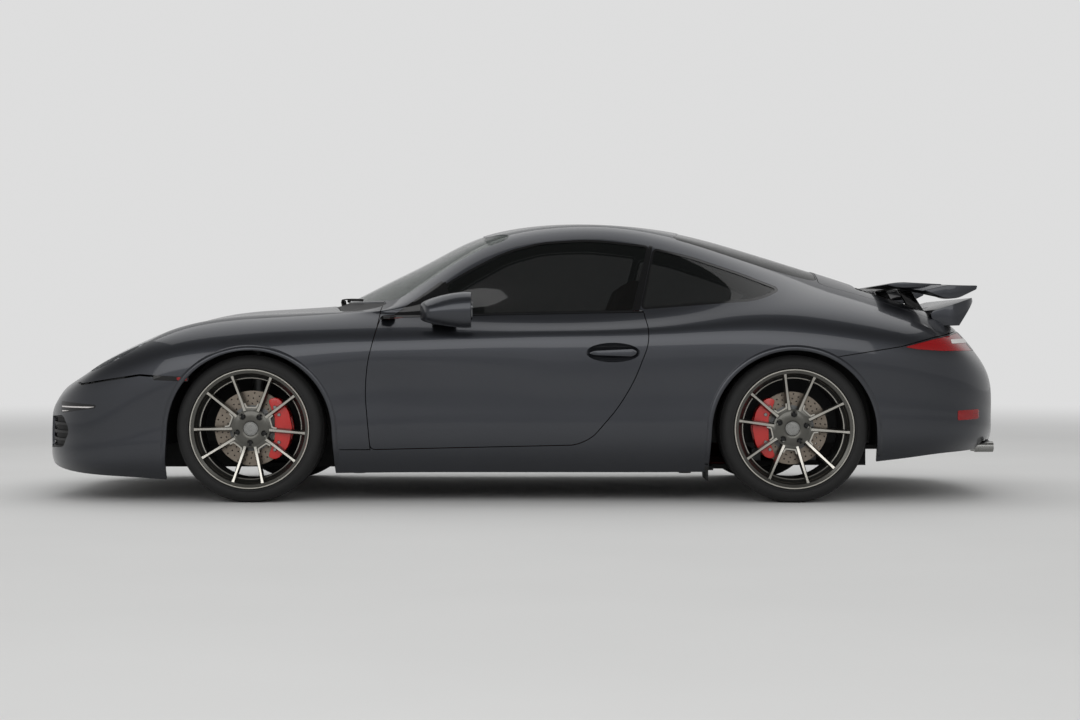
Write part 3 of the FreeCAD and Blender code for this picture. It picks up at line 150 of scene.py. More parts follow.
# Mesh helpers


def placed(name, data):
    """A new object in the scene."""
    made = bpy.data.objects.new(name, data)
    bpy.context.collection.objects.link(made)
    return made


def shaded(piece, sharp=30):
    """Shade a piece smooth, up to an angle in degrees."""
    piece.data.polygons.foreach_set("use_smooth", [True] * len(piece.data.polygons))
    piece.data.set_sharp_from_angle(angle=math.radians(sharp))
    return piece


def as_object(name, bm, sharp=35):
    """A smooth-shaded mesh object from a bmesh."""
    mesh = bpy.data.meshes.new(name)
    bm.to_mesh(mesh)
    bm.free()
    return shaded(placed(name, mesh), sharp)


def painted(piece, material):
    piece.data.materials.clear()
    piece.data.materials.append(material)
    return piece


def dress(piece, body, material, replaces=()):
    """Give a piece its material, the body it rides on and the nodes it stands for."""
    if material:
        painted(piece, material)
    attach(piece, body)
    if replaces:
        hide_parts(*replaces)
    return piece


def applied(piece):
    """The piece's mesh with its modifiers applied."""
    shape = bpy.data.meshes.new_from_object(
        piece.evaluated_get(bpy.context.evaluated_depsgraph_get()))
    piece.modifiers.clear()
    piece.data = shape
    return piece


def walled(piece, thick):
    """A sheet made thick inwards, in mm."""
    wall = piece.modifiers.new("wall", "SOLIDIFY")
    wall.thickness = thick * MM
    wall.offset = -1
    return applied(piece)


def refined(piece, levels):
    """A cage smoothed by Subdivision Surface."""
    smooth = piece.modifiers.new("smooth", "SUBSURF")
    smooth.levels = smooth.render_levels = levels
    smooth.boundary_smooth = "PRESERVE_CORNERS"
    return applied(piece)


def facing(bm, axis):
    """Turn a sheet's faces to look up an axis, by its number."""
    bmesh.ops.recalc_face_normals(bm, faces=bm.faces)
    if sum(face.normal[axis] for face in bm.faces) < 0:
        bmesh.ops.reverse_faces(bm, faces=bm.faces)
    return bm


def raised(bm, way):
    """Extrude a flat face into a solid, by a vector in mm."""
    moved = bmesh.ops.extrude_face_region(bm, geom=list(bm.faces))["geom"]
    bmesh.ops.translate(bm, vec=Vector(way) * MM,
                        verts=[v for v in moved if isinstance(v, bmesh.types.BMVert)])
    bmesh.ops.recalc_face_normals(bm, faces=bm.faces)
    return bm


def merged(bm, other):
    """Add another bmesh's form to a bmesh."""
    mesh = bpy.data.meshes.new("merged")
    other.to_mesh(mesh)
    other.free()
    bm.from_mesh(mesh)
    bpy.data.meshes.remove(mesh)
    return bm


def turn_matrix(degrees, axis):
    return Matrix.Rotation(math.radians(degrees), 4, axis)


def remove(*pieces):
    for piece in pieces:
        bpy.data.objects.remove(piece, do_unlink=True)


def mirrored(piece, name):
    """The same piece on the right side."""
    mesh = piece.data.copy()
    mesh.transform(Matrix.Scale(-1, 4, (0, 1, 0)))
    mesh.flip_normals()
    return placed(name, mesh)


# The body's form: the CAD's own sections, with the smooth surface through them

# Columns: x on the centre line, x at the side, then y and z of the lower edge, of the
# widest side, of the shoulder, of the crest or belt line, of the bonnet edge or roof
# rail, and z on the centre line.
SECTIONS = [
    (2245.5, 2245.5, 270, 200, 290, 285, 280, 340, 240, 375, 160, 392, 398),
    (2232, 2212, 460, 165, 490, 290, 475, 380, 420, 425, 280, 446, 452),
    (2190, 2130, 620, 140, 665, 310, 650, 430, 580, 492, 400, 508, 500),
    (2110, 2020, 720, 125, 780, 330, 762, 480, 680, 560, 480, 562, 556),
    (1980, 1890, 775, 116, 838, 360, 820, 540, 720, 640, 510, 640, 624),
    (1800, 1730, 805, 108, 872, 400, 856, 610, 720, 722, 510, 722, 722),
    (1600, 1560, 822, 100, 893, 440, 880, 668, 710, 790, 510, 790, 808),
    (1380, 1350, 830, 110, 900, 480, 888, 700, 715, 825, 530, 838, 862),
    (1150, 1110, 830, 125, 896, 520, 880, 722, 725, 838, 550, 856, 882),
    (960, 840, 822, 130, 886, 560, 872, 740, 740, 846, 620, 864, 894),
    (860, 620, 816, 132, 880, 580, 866, 748, 758, 850, 708, 876, 916),
    (680, 430, 812, 133, 877, 590, 862, 752, 764, 856, 700, 948, 1008),
    (450, 220, 810, 133, 875, 595, 860, 755, 766, 860, 668, 1072, 1124),
    (210, 20, 810, 133, 875, 595, 860, 758, 766, 863, 632, 1158, 1240),
    (-90, -140, 810, 133, 876, 595, 860, 760, 766, 866, 606, 1198, 1297),
    (-400, -420, 812, 133, 880, 598, 864, 765, 766, 874, 600, 1207, 1301),
    (-720, -700, 818, 134, 888, 605, 872, 775, 768, 888, 590, 1160, 1266),
    (-1020, -960, 826, 136, 898, 612, 882, 785, 770, 905, 565, 1085, 1190),
    (-1310, -1230, 830, 140, 904, 610, 886, 782, 762, 905, 535, 1012, 1100),
    (-1580, -1500, 828, 170, 900, 590, 880, 760, 740, 880, 520, 955, 1012),
    (-1790, -1720, 812, 195, 884, 560, 862, 730, 715, 842, 500, 900, 935),
    (-1960, -1890, 775, 215, 850, 530, 828, 695, 690, 795, 480, 845, 868),
    (-2080, -2010, 700, 222, 790, 500, 768, 650, 640, 735, 450, 775, 790),
    (-2160, -2110, 590, 228, 690, 470, 668, 590, 560, 665, 390, 690, 700),
    (-2215, -2190, 430, 236, 530, 440, 515, 530, 440, 588, 300, 606, 612),
    (-2245.5, -2245.5, 250, 250, 290, 400, 282, 460, 240, 505, 160, 520, 525),
]
SILL_OUT, SILL_UP = 0.85, 0.28
FLANK_IN, FLANK_UP = 0.05, 0.64
CROWN_SHARE = 0.77
SKIN_LEVELS = 3


def half_section(section):
    """Points of the left half of a body section, from its lower edge to the centre line."""
    x_top, x_side, low_y, low_z, side_y, side_z, shoulder_y, shoulder_z = section[:8]
    crest_y, crest_z, rail_y, rail_z, top_z = section[8:]
    tuck, rise = side_y - low_y, side_z - low_z
    points = [
        (x_side, low_y, low_z),
        (x_side, low_y + SILL_OUT * tuck, low_z + SILL_UP * rise),
        (x_side, side_y - FLANK_IN * tuck, low_z + FLANK_UP * rise),
        (x_side, side_y, side_z),
        (x_side, shoulder_y, shoulder_z),
        (x_side, crest_y, crest_z),
    ]
    crown_z = rail_z + CROWN_SHARE * (top_z - rail_z)
    for y, z in ((rail_y, rail_z), (rail_y / 2, crown_z), (0, top_z)):
        points.append((x_side + (x_top - x_side) * (1 - (y / crest_y) ** 2), y, z))
    return [Vector(point) * MM for point in points]


def poles_through(values):
    """Poles of the uniform cubic spline with free ends that passes through the values."""
    poles = list(values)
    right = [value * 6 for value in values[1:-1]]
    right[0] = right[0] - values[0]
    right[-1] = right[-1] - values[-1]
    factors = [0.25]
    right[0] = right[0] * 0.25
    for i in range(1, len(right)):
        factors.append(1 / (4 - factors[-1]))
        right[i] = (right[i] - right[i - 1]) * factors[i]
    for i in range(len(right) - 2, -1, -1):
        right[i] = right[i] - right[i + 1] * factors[i]
    poles[1:-1] = right
    return poles


def turned(rows):
    return [list(column) for column in zip(*rows)]


def body_skin():
    """The whole outer skin as one open smooth mesh, from a cage that Subdivision follows."""
    rows = []
    for section in SECTIONS:
        half = half_section(section)
        rows.append(half + [Vector((p.x, -p.y, p.z)) for p in reversed(half[:-1])])
    cage = turned([poles_through(row) for row in rows])
    cage = turned([poles_through(column) for column in cage])
    bm = bmesh.new()
    last_i, last_j = len(cage) - 1, len(cage[0]) - 1
    bmesh.ops.create_grid(bm, x_segments=last_j, y_segments=last_i, size=1)
    for vert in bm.verts:
        j = round((vert.co.x + 1) / 2 * last_j)
        i = round((vert.co.y + 1) / 2 * last_i)
        vert.co = cage[i][j]
    bmesh.ops.recalc_face_normals(bm, faces=bm.faces)
    if max(bm.verts, key=lambda v: v.co.z).normal.z < 0:
        bmesh.ops.reverse_faces(bm, faces=bm.faces)
    skin = refined(as_object("skin_form", bm), SKIN_LEVELS)
    mesh = skin.data
    remove(skin)
    return mesh


def capped(skin):
    """The skin with flat faces over its open nose and tail."""
    bm = bmesh.new()
    bm.from_mesh(skin)
    for end in (0, -1):
        reach = SECTIONS[end][0] * MM
        rim = [e for e in bm.edges if e.is_boundary and all(
            abs(v.co.x - reach) < 0.0002 for v in e.verts)]
        chain = sorted({v for e in rim for v in e.verts},
                       key=lambda v: math.atan2(v.co.y, v.co.z - 0.1))
        face = bm.faces.new(chain)
        face.normal_update()
        if face.normal.x * reach < 0:
            face.normal_flip()
    mesh = bpy.data.meshes.new("capped_skin")
    bm.to_mesh(mesh)
    bm.free()
    return mesh


SKIN = body_skin()
CAPPED = capped(SKIN)
SKIN_TREE = BVHTree.FromPolygons([v.co for v in SKIN.vertices],
                                 [tuple(p.vertices) for p in SKIN.polygons])


def skin_spot(point):
    """The nearest point on the skin and the smooth normal there."""
    spot, _, index, _ = SKIN_TREE.find_nearest(point)
    corners = [SKIN.vertices[k] for k in SKIN.polygons[index].vertices]
    weights = poly_3d_calc([c.co for c in corners], spot)
    normal = Vector()
    for weight, corner in zip(weights, corners):
        normal += corner.normal * weight
    return spot, normal.normalized()


def follow_skin(piece, inset=0.0):
    """Shade faces on the skin by its own smooth normals, and crosswise faces flat."""
    mesh = piece.data
    found = {}
    normals = [None] * len(mesh.loops)
    flat = mesh.corner_normals
    for polygon in mesh.polygons:
        spot, normal = skin_spot(polygon.center)
        on_skin = polygon.normal.dot(normal) > 0.8 and (
            abs((polygon.center - spot).length - inset * MM) < 1.5 * MM)
        for loop in polygon.loop_indices:
            key = mesh.loops[loop].vertex_index
            if on_skin:
                if key not in found:
                    found[key] = skin_spot(mesh.vertices[key].co)[1]
                normals[loop] = found[key]
            elif abs(polygon.normal.x) > 0.999:
                normals[loop] = polygon.normal.copy()
            else:
                normals[loop] = flat[loop].vector
    mesh.normals_split_custom_set(normals)


# Outlines and cutters


def grown(points, grow):
    """The corners of an outline set out by grow, with their radii clamped and changed too."""
    count = len(points)
    spots = [Vector(point[:2]) for point in points]
    area = sum(spots[k - 1].x * spots[k].y - spots[k].x * spots[k - 1].y for k in range(count))
    way = 1 if area > 0 else -1
    out = []
    for k in range(count):
        back, onward = spots[k] - spots[k - 1], spots[(k + 1) % count] - spots[k]
        bend = back.angle_signed(onward) * -way
        tangent = math.tan(abs(bend) / 2)
        radius = points[k][2]
        if tangent > 1e-4:
            radius = min(radius, 0.49 * min(back.length, onward.length) / tangent)
        normal_in = Vector((back.y, -back.x)).normalized() * way
        normal_out = Vector((onward.y, -onward.x)).normalized() * way
        shift = (normal_in + normal_out) / (1 + normal_in.dot(normal_out)) * grow
        turn_radius = radius + grow if bend > 0 else radius - grow
        reach = max(turn_radius, 0.0) * tangent
        out.append((spots[k] + shift, reach, abs(bend) * max(turn_radius, 0.0)))
    return out


PLANES = {
    "XZ": (lambda a, b, c: (a, c, b), (0, 1, 0)),
    "XY": (lambda a, b, c: (a, b, c), (0, 0, 1)),
    "YZ": (lambda a, b, c: (c, a, b), (1, 0, 0)),
}


def outline_face(bm, points, plane, level, grow=0.0, step_mm=6.0):
    """A flat face over a rounded outline."""
    place, _ = PLANES[plane]
    corners = grown(points, grow)
    verts = [bm.verts.new(Vector(place(spot.x, spot.y, level)) * MM) for spot, _, _ in corners]
    bm.faces.new(verts)
    for vert, (_, reach, arc) in zip(verts, corners):
        if reach > 0.3:
            bmesh.ops.bevel(bm, geom=[vert], offset=reach * MM, segments=min(
                max(int(arc / step_mm), 2), 24), profile=0.5, affect="VERTICES",
                clamp_overlap=False, material=-1)
    return bm


def prism(points, plane, low, high, grow=0.0, step_mm=6.0):
    """A straight prism over a rounded outline, as a bmesh."""
    bm = outline_face(bmesh.new(), points, plane, low, grow, step_mm)
    return raised(bm, Vector(PLANES[plane][1]) * (high - low))


def side_cut(points, grow=0.0, low=300, high=1100):
    return prism(points, "XZ", low, high, grow)


def top_cut(points, grow=0.0, low=450, high=1500):
    return prism(points, "XY", low, high, grow)


def flipped(bm):
    """The same cutter on the right side."""
    bmesh.ops.scale(bm, vec=(1, -1, 1), verts=bm.verts)
    bmesh.ops.reverse_faces(bm, faces=bm.faces)
    return bm


def block(x0, x1, y0, y1, z0, z1):
    """A plain box as a bmesh."""
    bm = bmesh.new()
    bmesh.ops.create_cube(bm, size=1)
    bmesh.ops.scale(bm, vec=Vector((x1 - x0, y1 - y0, z1 - z0)) * MM, verts=bm.verts)
    middle = Vector((x0 + x1, y0 + y1, z0 + z1)) * MM / 2
    bmesh.ops.translate(bm, vec=middle, verts=bm.verts)
    return bm


def cylinder(start, end, radius, segments):
    """A closed cylinder between two points, as a bmesh."""
    start, end = Vector(start) * MM, Vector(end) * MM
    bm = bmesh.new()
    turn = (end - start).to_track_quat("Z", "Y").to_matrix().to_4x4()
    bmesh.ops.create_cone(bm, cap_ends=True, segments=segments, radius1=radius * MM,
                          radius2=radius * MM, depth=(end - start).length,
                          matrix=Matrix.Translation((start + end) / 2) @ turn)
    return bm


def cut(piece, cutters, operation):
    """Cut a piece by closed cutters, or keep only what lies inside each of them."""
    operands = []
    for k, bm in enumerate(cutters):
        operands.append(as_object("cutter_%d" % k, bm))
        step = piece.modifiers.new("cut_%d" % k, "BOOLEAN")
        step.solver = "MANIFOLD"
        step.operation = operation
        step.object = operands[-1]
    applied(piece)
    remove(*operands)
    return piece


def skin_piece(name, low, high, inset=0.0):
    """The part of the skin within a box, set in by inset, as an open sheet."""
    bm = bmesh.new()
    bm.from_mesh(CAPPED)
    low, high = Vector(low) * MM, Vector(high) * MM
    if inset:
        moves = [(vert, vert.normal * inset * MM) for vert in bm.verts]
        for vert, move in moves:
            vert.co -= move
    away = []
    for face in bm.faces:
        middle = face.calc_center_median()
        if not all(low[k] < middle[k] < high[k] for k in range(3)):
            away.append(face)
    bmesh.ops.delete(bm, geom=away, context="FACES")
    return as_object(name, bm, 60)


def panel(name, low, high, inside=(), outside=(), inset=0.0, thick=12.0):
    """A panel of the skin: the sheet within the outlines, made thick inwards."""
    piece = walled(skin_piece(name, low, high, inset), thick)
    if inside:
        cut(piece, inside, "INTERSECT")
    if outside:
        cut(piece, outside, "DIFFERENCE")
    follow_skin(shaded(piece, 40), inset)
    return piece


def both(piece, name, material, body="body", node=None, left_for=None):
    """Dress a left piece and its mirror; body and node get left or right where they say %s.

    The left piece alone stands for the node left_for, whose solids are on both sides.
    """
    other = mirrored(piece, name + "_right")
    piece.name = name + "_left"
    for side, made in (("left", piece), ("right", other)):
        ride = body % side if "%s" in body else body
        nodes = [node % side] if node else []
        if left_for and side == "left":
            nodes.append(left_for)
        dress(made, ride, material, nodes)


def edge_bevel(piece, width, segments=2):
    """Round a piece's sharp edges."""
    rounding = piece.modifiers.new("rounding", "BEVEL")
    rounding.width = width * MM
    rounding.segments = segments
    rounding.limit_method = "ANGLE"
    rounding.angle_limit = math.radians(35)
    rounding.use_clamp_overlap = True
    return shaded(applied(piece))


def solid(name, bm, material, rounding=0, segments=2):
    """A painted piece from a bmesh, its sharp edges rounded by so many mm."""
    piece = painted(as_object(name, bm), material)
    return edge_bevel(piece, rounding, segments) if rounding else piece


def lathe(name, profile, centre, axis=(0, 1, 0), steps=96, sharp=35):
    """A turned solid from the (radius, distance along the axis) points of its outline."""
    bm = bmesh.new()
    points = list(profile)
    on_axis = [radius < 0.1 for radius, _ in points]
    for k in range(len(points)):
        if on_axis[k] and on_axis[k - 1]:
            points = points[k:] + points[:k]
            break
    verts = [bm.verts.new((0 if radius < 0.1 else radius * MM, 0, along * MM))
             for radius, along in points]
    pairs = list(zip(verts, verts[1:]))
    if not any(on_axis):
        pairs.append((verts[-1], verts[0]))
    edges = [bm.edges.new(pair) for pair in pairs]
    bmesh.ops.spin(bm, geom=verts + edges, cent=(0, 0, 0), axis=(0, 0, 1),
                   angle=2 * math.pi, steps=steps, use_merge=True)
    bmesh.ops.remove_doubles(bm, verts=bm.verts, dist=1e-6)
    bmesh.ops.dissolve_degenerate(bm, dist=1e-7, edges=bm.edges)
    bmesh.ops.recalc_face_normals(bm, faces=bm.faces)
    turn = Vector(axis).to_track_quat("Z", "Y").to_matrix().to_4x4()
    bm.transform(Matrix.Translation(Vector(centre) * MM) @ turn)
    return as_object(name, bm, sharp)


def joined(name, pieces):
    """Several pieces as one object, with their materials kept."""
    bm = bmesh.new()
    mesh = bpy.data.meshes.new(name)
    for piece in pieces:
        first = len(bm.faces)
        bm.from_mesh(piece.data)
        bm.faces.ensure_lookup_table()
        offset = len(mesh.materials)
        for material in piece.data.materials:
            mesh.materials.append(material)
        for face in bm.faces[first:]:
            face.material_index += offset
    bm.to_mesh(mesh)
    bm.free()
    mesh.set_sharp_from_angle(angle=math.radians(32))
    remove(*pieces)
    return placed(name, mesh)


def on_skin(start, way, lift=0.0):
    """The point where a ray in mm meets the skin, or the nearest to it, lifted, in mm."""
    start = Vector(start) * MM
    hit = SKIN_TREE.ray_cast(start, Vector(way))[0]
    spot, normal = skin_spot(hit or start)
    return (spot + normal * lift * MM) / MM


def on_side(x, z, lift=0.0):
    return on_skin((x, 1000, z), (0, -1, 0), lift)


def on_top(x, y, lift=0.0):
    return on_skin((x, y, 1500), (0, 0, -1), lift)


# Side outlines (x, z, radius) and top outlines (x, y, radius)
GAP = 4.0
HALF_GAP = GAP / 2
SILL_TOP = 236
BELT_FRONT_X, BELT_REAR_X, BELT_FRONT, BELT_REAR = 640, -552, 842, 866


def belt(x):
    """Height of the door's top edge."""
    return BELT_FRONT + (BELT_REAR - BELT_FRONT) * (BELT_FRONT_X - x) / (BELT_FRONT_X - BELT_REAR_X)


DOOR = [(683, SILL_TOP + 2.5, 25), (712, 560, 900), (655, 790, 140),
        (BELT_FRONT_X, BELT_FRONT, 12), (BELT_REAR_X, BELT_REAR, 12), (-582, 740, 220),
        (-480, 480, 700), (-290, SILL_TOP + 24, 170)]
DOOR_GLASS = [(575, belt(575) - 4.7, 10), (277, 1034, 1200), (79, 1140, 500), (-90, 1184, 400),
              (-320, 1198, 900), (-588, 1168, 20), (-508, belt(-508) - 4.7, 20)]
QUARTER_GLASS = [(-606, 1158, 25), (-780, 1118, 900), (-1010, 1041, 900), (-1195, 966, 16),
                 (-1080, 914, 300), (-540, BELT_REAR + 6, 20)]
WINDSCREEN = [(590, 655, 60), (790, 380, 800), (872, 0, 1400), (790, -380, 800),
              (590, -655, 60), (40, -575, 50), (170, -330, 1500), (212, 0, 2500),
              (170, 330, 1500), (40, 575, 50)]
ROOF = [(34, 545, 30), (164, 330, 1500), (206, 0, 2500), (164, -330, 1500), (34, -545, 30),
        (-700, -520, 20), (-775, 0, 3000), (-700, 520, 20)]
REAR_GLASS = [(-706, 515, 30), (-781, 0, 3000), (-706, -515, 30), (-1385, -470, 60),
              (-1415, 0, 3000), (-1385, 470, 60)]
ENGINE_LID = [(-1391, 500, 40), (-1421, 0, 3000), (-1391, -500, 40), (-1700, -560, 900),
              (-2020, -600, 30), (-2400, -600, 0), (-2400, 600, 0), (-2020, 600, 30),
              (-1700, 560, 900)]
LUGGAGE_LID = [(835, 640, 40), (1300, 572, 1500), (1800, 482, 1500), (2035, 405, 120),
               (2116, 0, 900), (2035, -405, 120), (1800, -482, 1500), (1300, -572, 1500),
               (835, -640, 40), (945, 0, 1500)]
COWL = [(604, 668, 30), (829, 655, 30), (939, 0, 1500), (829, -655, 30), (604, -668, 30),
        (802, -380, 800), (882, 0, 1400), (802, 380, 800)]
BUMPER_LINE = [(1478, 554), (1720, 572), (2010, 528), (2126, 562), (2400, 562)]
FRONT_BUMPER = [(1300, 40, 0), (1400, 400, 0)] + [(x, z, 0) for x, z in BUMPER_LINE] + [
    (2400, 40, 0)]
FENDER = [(683, SILL_TOP + 2.5, 0), (712, 560, 900), (655, 790, 140), (630, 1000, 0),
          (2400, 1000, 0)] + [(x, z + 5, 0) for x, z in reversed(BUMPER_LINE)] + [
              (1350, 400, 0), (1250, SILL_TOP + 2.5, 0)]
TAIL_LINE = [(-1388, 652), (-1705, 702), (-1860, 742), (-2045, 775), (-2400, 775)]
REAR_BUMPER = [(x, z, 0) for x, z in TAIL_LINE] + [(-2400, 60, 0), (-1300, 60, 0)]
TAIL_LAMP = [(-1722, 700, 3), (-1860, 734, 600), (-2045, 767, 60), (-2400, 767, 0),
             (-2400, 684, 0), (-1900, 683, 400), (-1790, 690, 200)]
TAIL_LAMP_INNER = 470
TAILPIPE_SLOT = [(455, 140, 10), (455, 268, 30), (618, 268, 30), (618, 140, 10)]
HANDLE_X, HANDLE_Z = (-532, -290), (632, 720)
HEADLAMP_CENTRE, HEADLAMP_HALF, HEADLAMP_TURN = (1797, 640), (188, 126), 10
INTAKE = [(430, 228, 20), (690, 240, 30), (742, 320, 40), (690, 388, 40), (430, 372, 20)]
INTAKE_MIDDLE = [(-330, 158, 20), (330, 158, 20), (290, 262, 20), (-290, 262, 20)]
GRILLE_OPENING = [(-1585, 400, 0), (-1585, -400, 0), (-1815, -400, 0), (-1815, 400, 0)]
AXLE_X, AXLE_Z = 1225, 332
ARCH_RADIUS, ARCH_DROP, ARCH_FLARE = 370, 17, 22


def arch_cuts(axle_x, grow=0.0):
    """The left wheel opening: round over the wheel, flared towards the floor."""
    radius, middle = ARCH_RADIUS + grow, AXLE_Z - ARCH_DROP
    crown = cylinder((axle_x, 400, middle), (axle_x, 1100, middle), radius, 128)
    foot = side_cut([(axle_x - radius, middle, 0), (axle_x + radius, middle, 0),
                     (axle_x + radius + ARCH_FLARE, -10, 0),
                     (axle_x - radius - ARCH_FLARE, -10, 0)], 0, 400)
    return [crown, foot]


def headlamp_cut(grow=0.0, low=450, high=1050):
    """The oval cutter of the left headlamp, seen from above."""
    bm = bmesh.new()
    bmesh.ops.create_circle(bm, cap_ends=True, segments=96, radius=1)
    bmesh.ops.scale(bm, vec=((HEADLAMP_HALF[0] + grow) * MM, (HEADLAMP_HALF[1] + grow) * MM, 1),
                    verts=bm.verts)
    bmesh.ops.rotate(bm, matrix=Matrix.Rotation(math.radians(HEADLAMP_TURN), 3, "Z"),
                     verts=bm.verts)
    bmesh.ops.translate(bm, vec=Vector((*HEADLAMP_CENTRE, low)) * MM, verts=bm.verts)
    return raised(bm, (0, 0, high - low))


def oval_cut(span_x, span_z):
    """An oval cutter through the left side."""
    bm = bmesh.new()
    bmesh.ops.create_circle(bm, cap_ends=True, segments=72, radius=1)
    for vert in bm.verts:
        x = (span_x[0] + span_x[1]) / 2 + vert.co.x * (span_x[1] - span_x[0]) / 2
        z = (span_z[0] + span_z[1]) / 2 + vert.co.y * (span_z[1] - span_z[0]) / 2
        vert.co = Vector((x, 600, z)) * MM
    return raised(bm, (0, 500, 0))


# Painted panels
side = panel("body_side", (-2300, 0, 0), (862, 1100, 1400), outside=[
    side_cut(DOOR, HALF_GAP), side_cut(DOOR_GLASS, HALF_GAP), side_cut(QUARTER_GLASS, HALF_GAP),
    side_cut(FENDER, HALF_GAP), top_cut(WINDSCREEN, HALF_GAP, 600),
    top_cut(COWL, HALF_GAP, 600), top_cut(LUGGAGE_LID, HALF_GAP), top_cut(ROOF, 0.2, 900),
    top_cut(REAR_GLASS, HALF_GAP, 800), top_cut(ENGINE_LID, HALF_GAP, 600),
    prism(REAR_BUMPER, "XZ", -1100, 1100, HALF_GAP), *arch_cuts(AXLE_X), *arch_cuts(-AXLE_X)])
both(side, "body_side_paint", PAINT, node="body_side_%s")

door = panel("door", (-640, 0, 200), (760, 1100, 900), [side_cut(DOOR, -HALF_GAP)],
             [oval_cut(HANDLE_X, HANDLE_Z)])
both(door, "door_paint", PAINT, "door_%s", "door_%s")

fender = panel("front_fender", (600, 0, 200), (2300, 1100, 950), [side_cut(FENDER, -HALF_GAP)],
               [top_cut(LUGGAGE_LID, HALF_GAP), top_cut(COWL, HALF_GAP, 600),
                top_cut(WINDSCREEN, HALF_GAP, 600), headlamp_cut(HALF_GAP),
                *arch_cuts(AXLE_X)])
both(fender, "front_fender_paint", PAINT, node="front_fender_%s")

bumper = panel("front_bumper_paint", (1300, -1100, 0), (2300, 1100, 640),
               [prism(FRONT_BUMPER, "XZ", -1100, 1100, -HALF_GAP)],
               [top_cut(LUGGAGE_LID, HALF_GAP), headlamp_cut(HALF_GAP),
                flipped(headlamp_cut(HALF_GAP)), prism(INTAKE, "YZ", 1900, 2400),
                flipped(prism(INTAKE, "YZ", 1900, 2400)),
                prism(INTAKE_MIDDLE, "YZ", 1900, 2400)]
               + arch_cuts(AXLE_X) + [flipped(bm) for bm in arch_cuts(AXLE_X)])
dress(bumper, "body", PAINT, ["front_bumper"])

PLATE_RECESS = [(-172, 322, 16), (172, 322, 16), (172, 494, 16), (-172, 494, 16)]
rear = panel("rear_bumper_paint", (-2300, -1100, 0), (-1250, 1100, 800),
             [prism(REAR_BUMPER, "XZ", -1100, 1100, -HALF_GAP)],
             [prism(TAIL_LAMP, "XZ", TAIL_LAMP_INNER, 1100, 1.0),
              flipped(prism(TAIL_LAMP, "XZ", TAIL_LAMP_INNER, 1100, 1.0)),
              prism(TAILPIPE_SLOT, "YZ", -2400, -2000),
              flipped(prism(TAILPIPE_SLOT, "YZ", -2400, -2000)),
              prism(PLATE_RECESS, "YZ", -2400, -2200)]
             + arch_cuts(-AXLE_X) + [flipped(bm) for bm in arch_cuts(-AXLE_X)])
dress(rear, "body", PAINT, ["rear_bumper"])
PLATE = [(-153, 332, 10), (153, 332, 10), (153, 484, 10), (-153, 484, 10)]
plate_parts = [solid("plate_tray", prism(PLATE_RECESS, "YZ", -2234, -2228, 9), TRIM, 1.5),
               solid("plate", prism(PLATE, "YZ", -2237, -2233), STEEL, 1.2, 3)]
for y in (-85, 85):
    plate_parts.append(painted(lathe("plate_bolt", [
        (0.01, 4), (6, 3.4), (7.5, 1), (7.5, -2), (0.01, -2)], (-2237, y, 470), (-1, 0, 0), 24),
        TRIM))
dress(joined("rear_plate_blank", plate_parts), "body", None)

dress(panel("roof_paint", (-900, -700, 1000), (300, 700, 1400), [top_cut(ROOF, -0.2, 900)]),
      "body", PAINT, ["roof_panel"])
dress(panel("luggage_lid_paint", (780, -750, 450), (2200, 750, 950),
            [top_cut(LUGGAGE_LID, -HALF_GAP)]), "luggage_lid", PAINT, ["luggage_lid"])
dress(panel("engine_lid_paint", (-2300, -700, 700), (-1300, 700, 1200),
            [top_cut(ENGINE_LID, -HALF_GAP, 600)],
            [top_cut(GRILLE_OPENING, 0, 600), prism(REAR_BUMPER, "XZ", -1100, 1100, HALF_GAP)]),
      "engine_lid", PAINT, ["engine_lid"])
dress(panel("cowl_trim", (550, -750, 700), (1000, 750, 1000), [top_cut(COWL, -1.0, 600)],
            inset=4.0, thick=8.0), "body", TRIM, ["cowl_panel"])

# Glass
FIT = HALF_GAP - 0.3
PANE = {"inset": 3.0, "thick": 5.0}
DOOR_PANE_BOX = ((-640, 0, 800), (640, 1100, 1260))
QUARTER_BOX = ((-1300, 0, 800), (-450, 1100, 1260))
door_glass = panel("door_glass", *DOOR_PANE_BOX, [side_cut(DOOR_GLASS, -HALF_GAP)], **PANE)
both(door_glass, "door_glass_pane", GLASS_DARK, "door_%s", "door_glass_%s")
quarter = panel("quarter_glass", *QUARTER_BOX, [side_cut(QUARTER_GLASS, FIT)], **PANE)
both(quarter, "quarter_glass_pane", GLASS_DARK)
dress(panel("windscreen_pane", (0, -800, 800), (980, 800, 1350),
            [top_cut(WINDSCREEN, FIT)], **PANE), "body", GLASS_CLEAR, ["windscreen"])
dress(panel("rear_glass_pane", (-1500, -600, 900), (-650, 600, 1350),
            [top_cut(REAR_GLASS, FIT, 800)], **PANE), "body", GLASS_DARK, ["rear_windows"])

# Black frames of the side glass, with the slim pillar between the panes
FRAME = {"inset": 0.8, "thick": 9.0}
frame_ring = panel("door_glass_frame", *DOOR_PANE_BOX, [side_cut(DOOR_GLASS, FIT - 0.4)],
                   [side_cut(DOOR_GLASS, -9)], **FRAME)
both(frame_ring, "door_glass_seal", GLOSS_BLACK, "door_%s")
quarter_ring = panel("quarter_frame", *QUARTER_BOX, [side_cut(QUARTER_GLASS, FIT)],
                     [side_cut(QUARTER_GLASS, -9)], **FRAME)
both(quarter_ring, "quarter_glass_seal", GLOSS_BLACK)
PILLAR = [(-589, 1172, 3), (-604, 1168, 3), (-537, 870, 3), (-511, 864, 3)]
pillar = panel("pillar_cover", (-640, 0, 800), (-480, 1100, 1260), [side_cut(PILLAR)],
               inset=-0.8, thick=4.0)
both(pillar, "pillar_cover", GLOSS_BLACK)
BELT_STRIP = [(600, 835, 3), (-556, 858, 3), (-548, 869, 3), (598, 846, 3)]
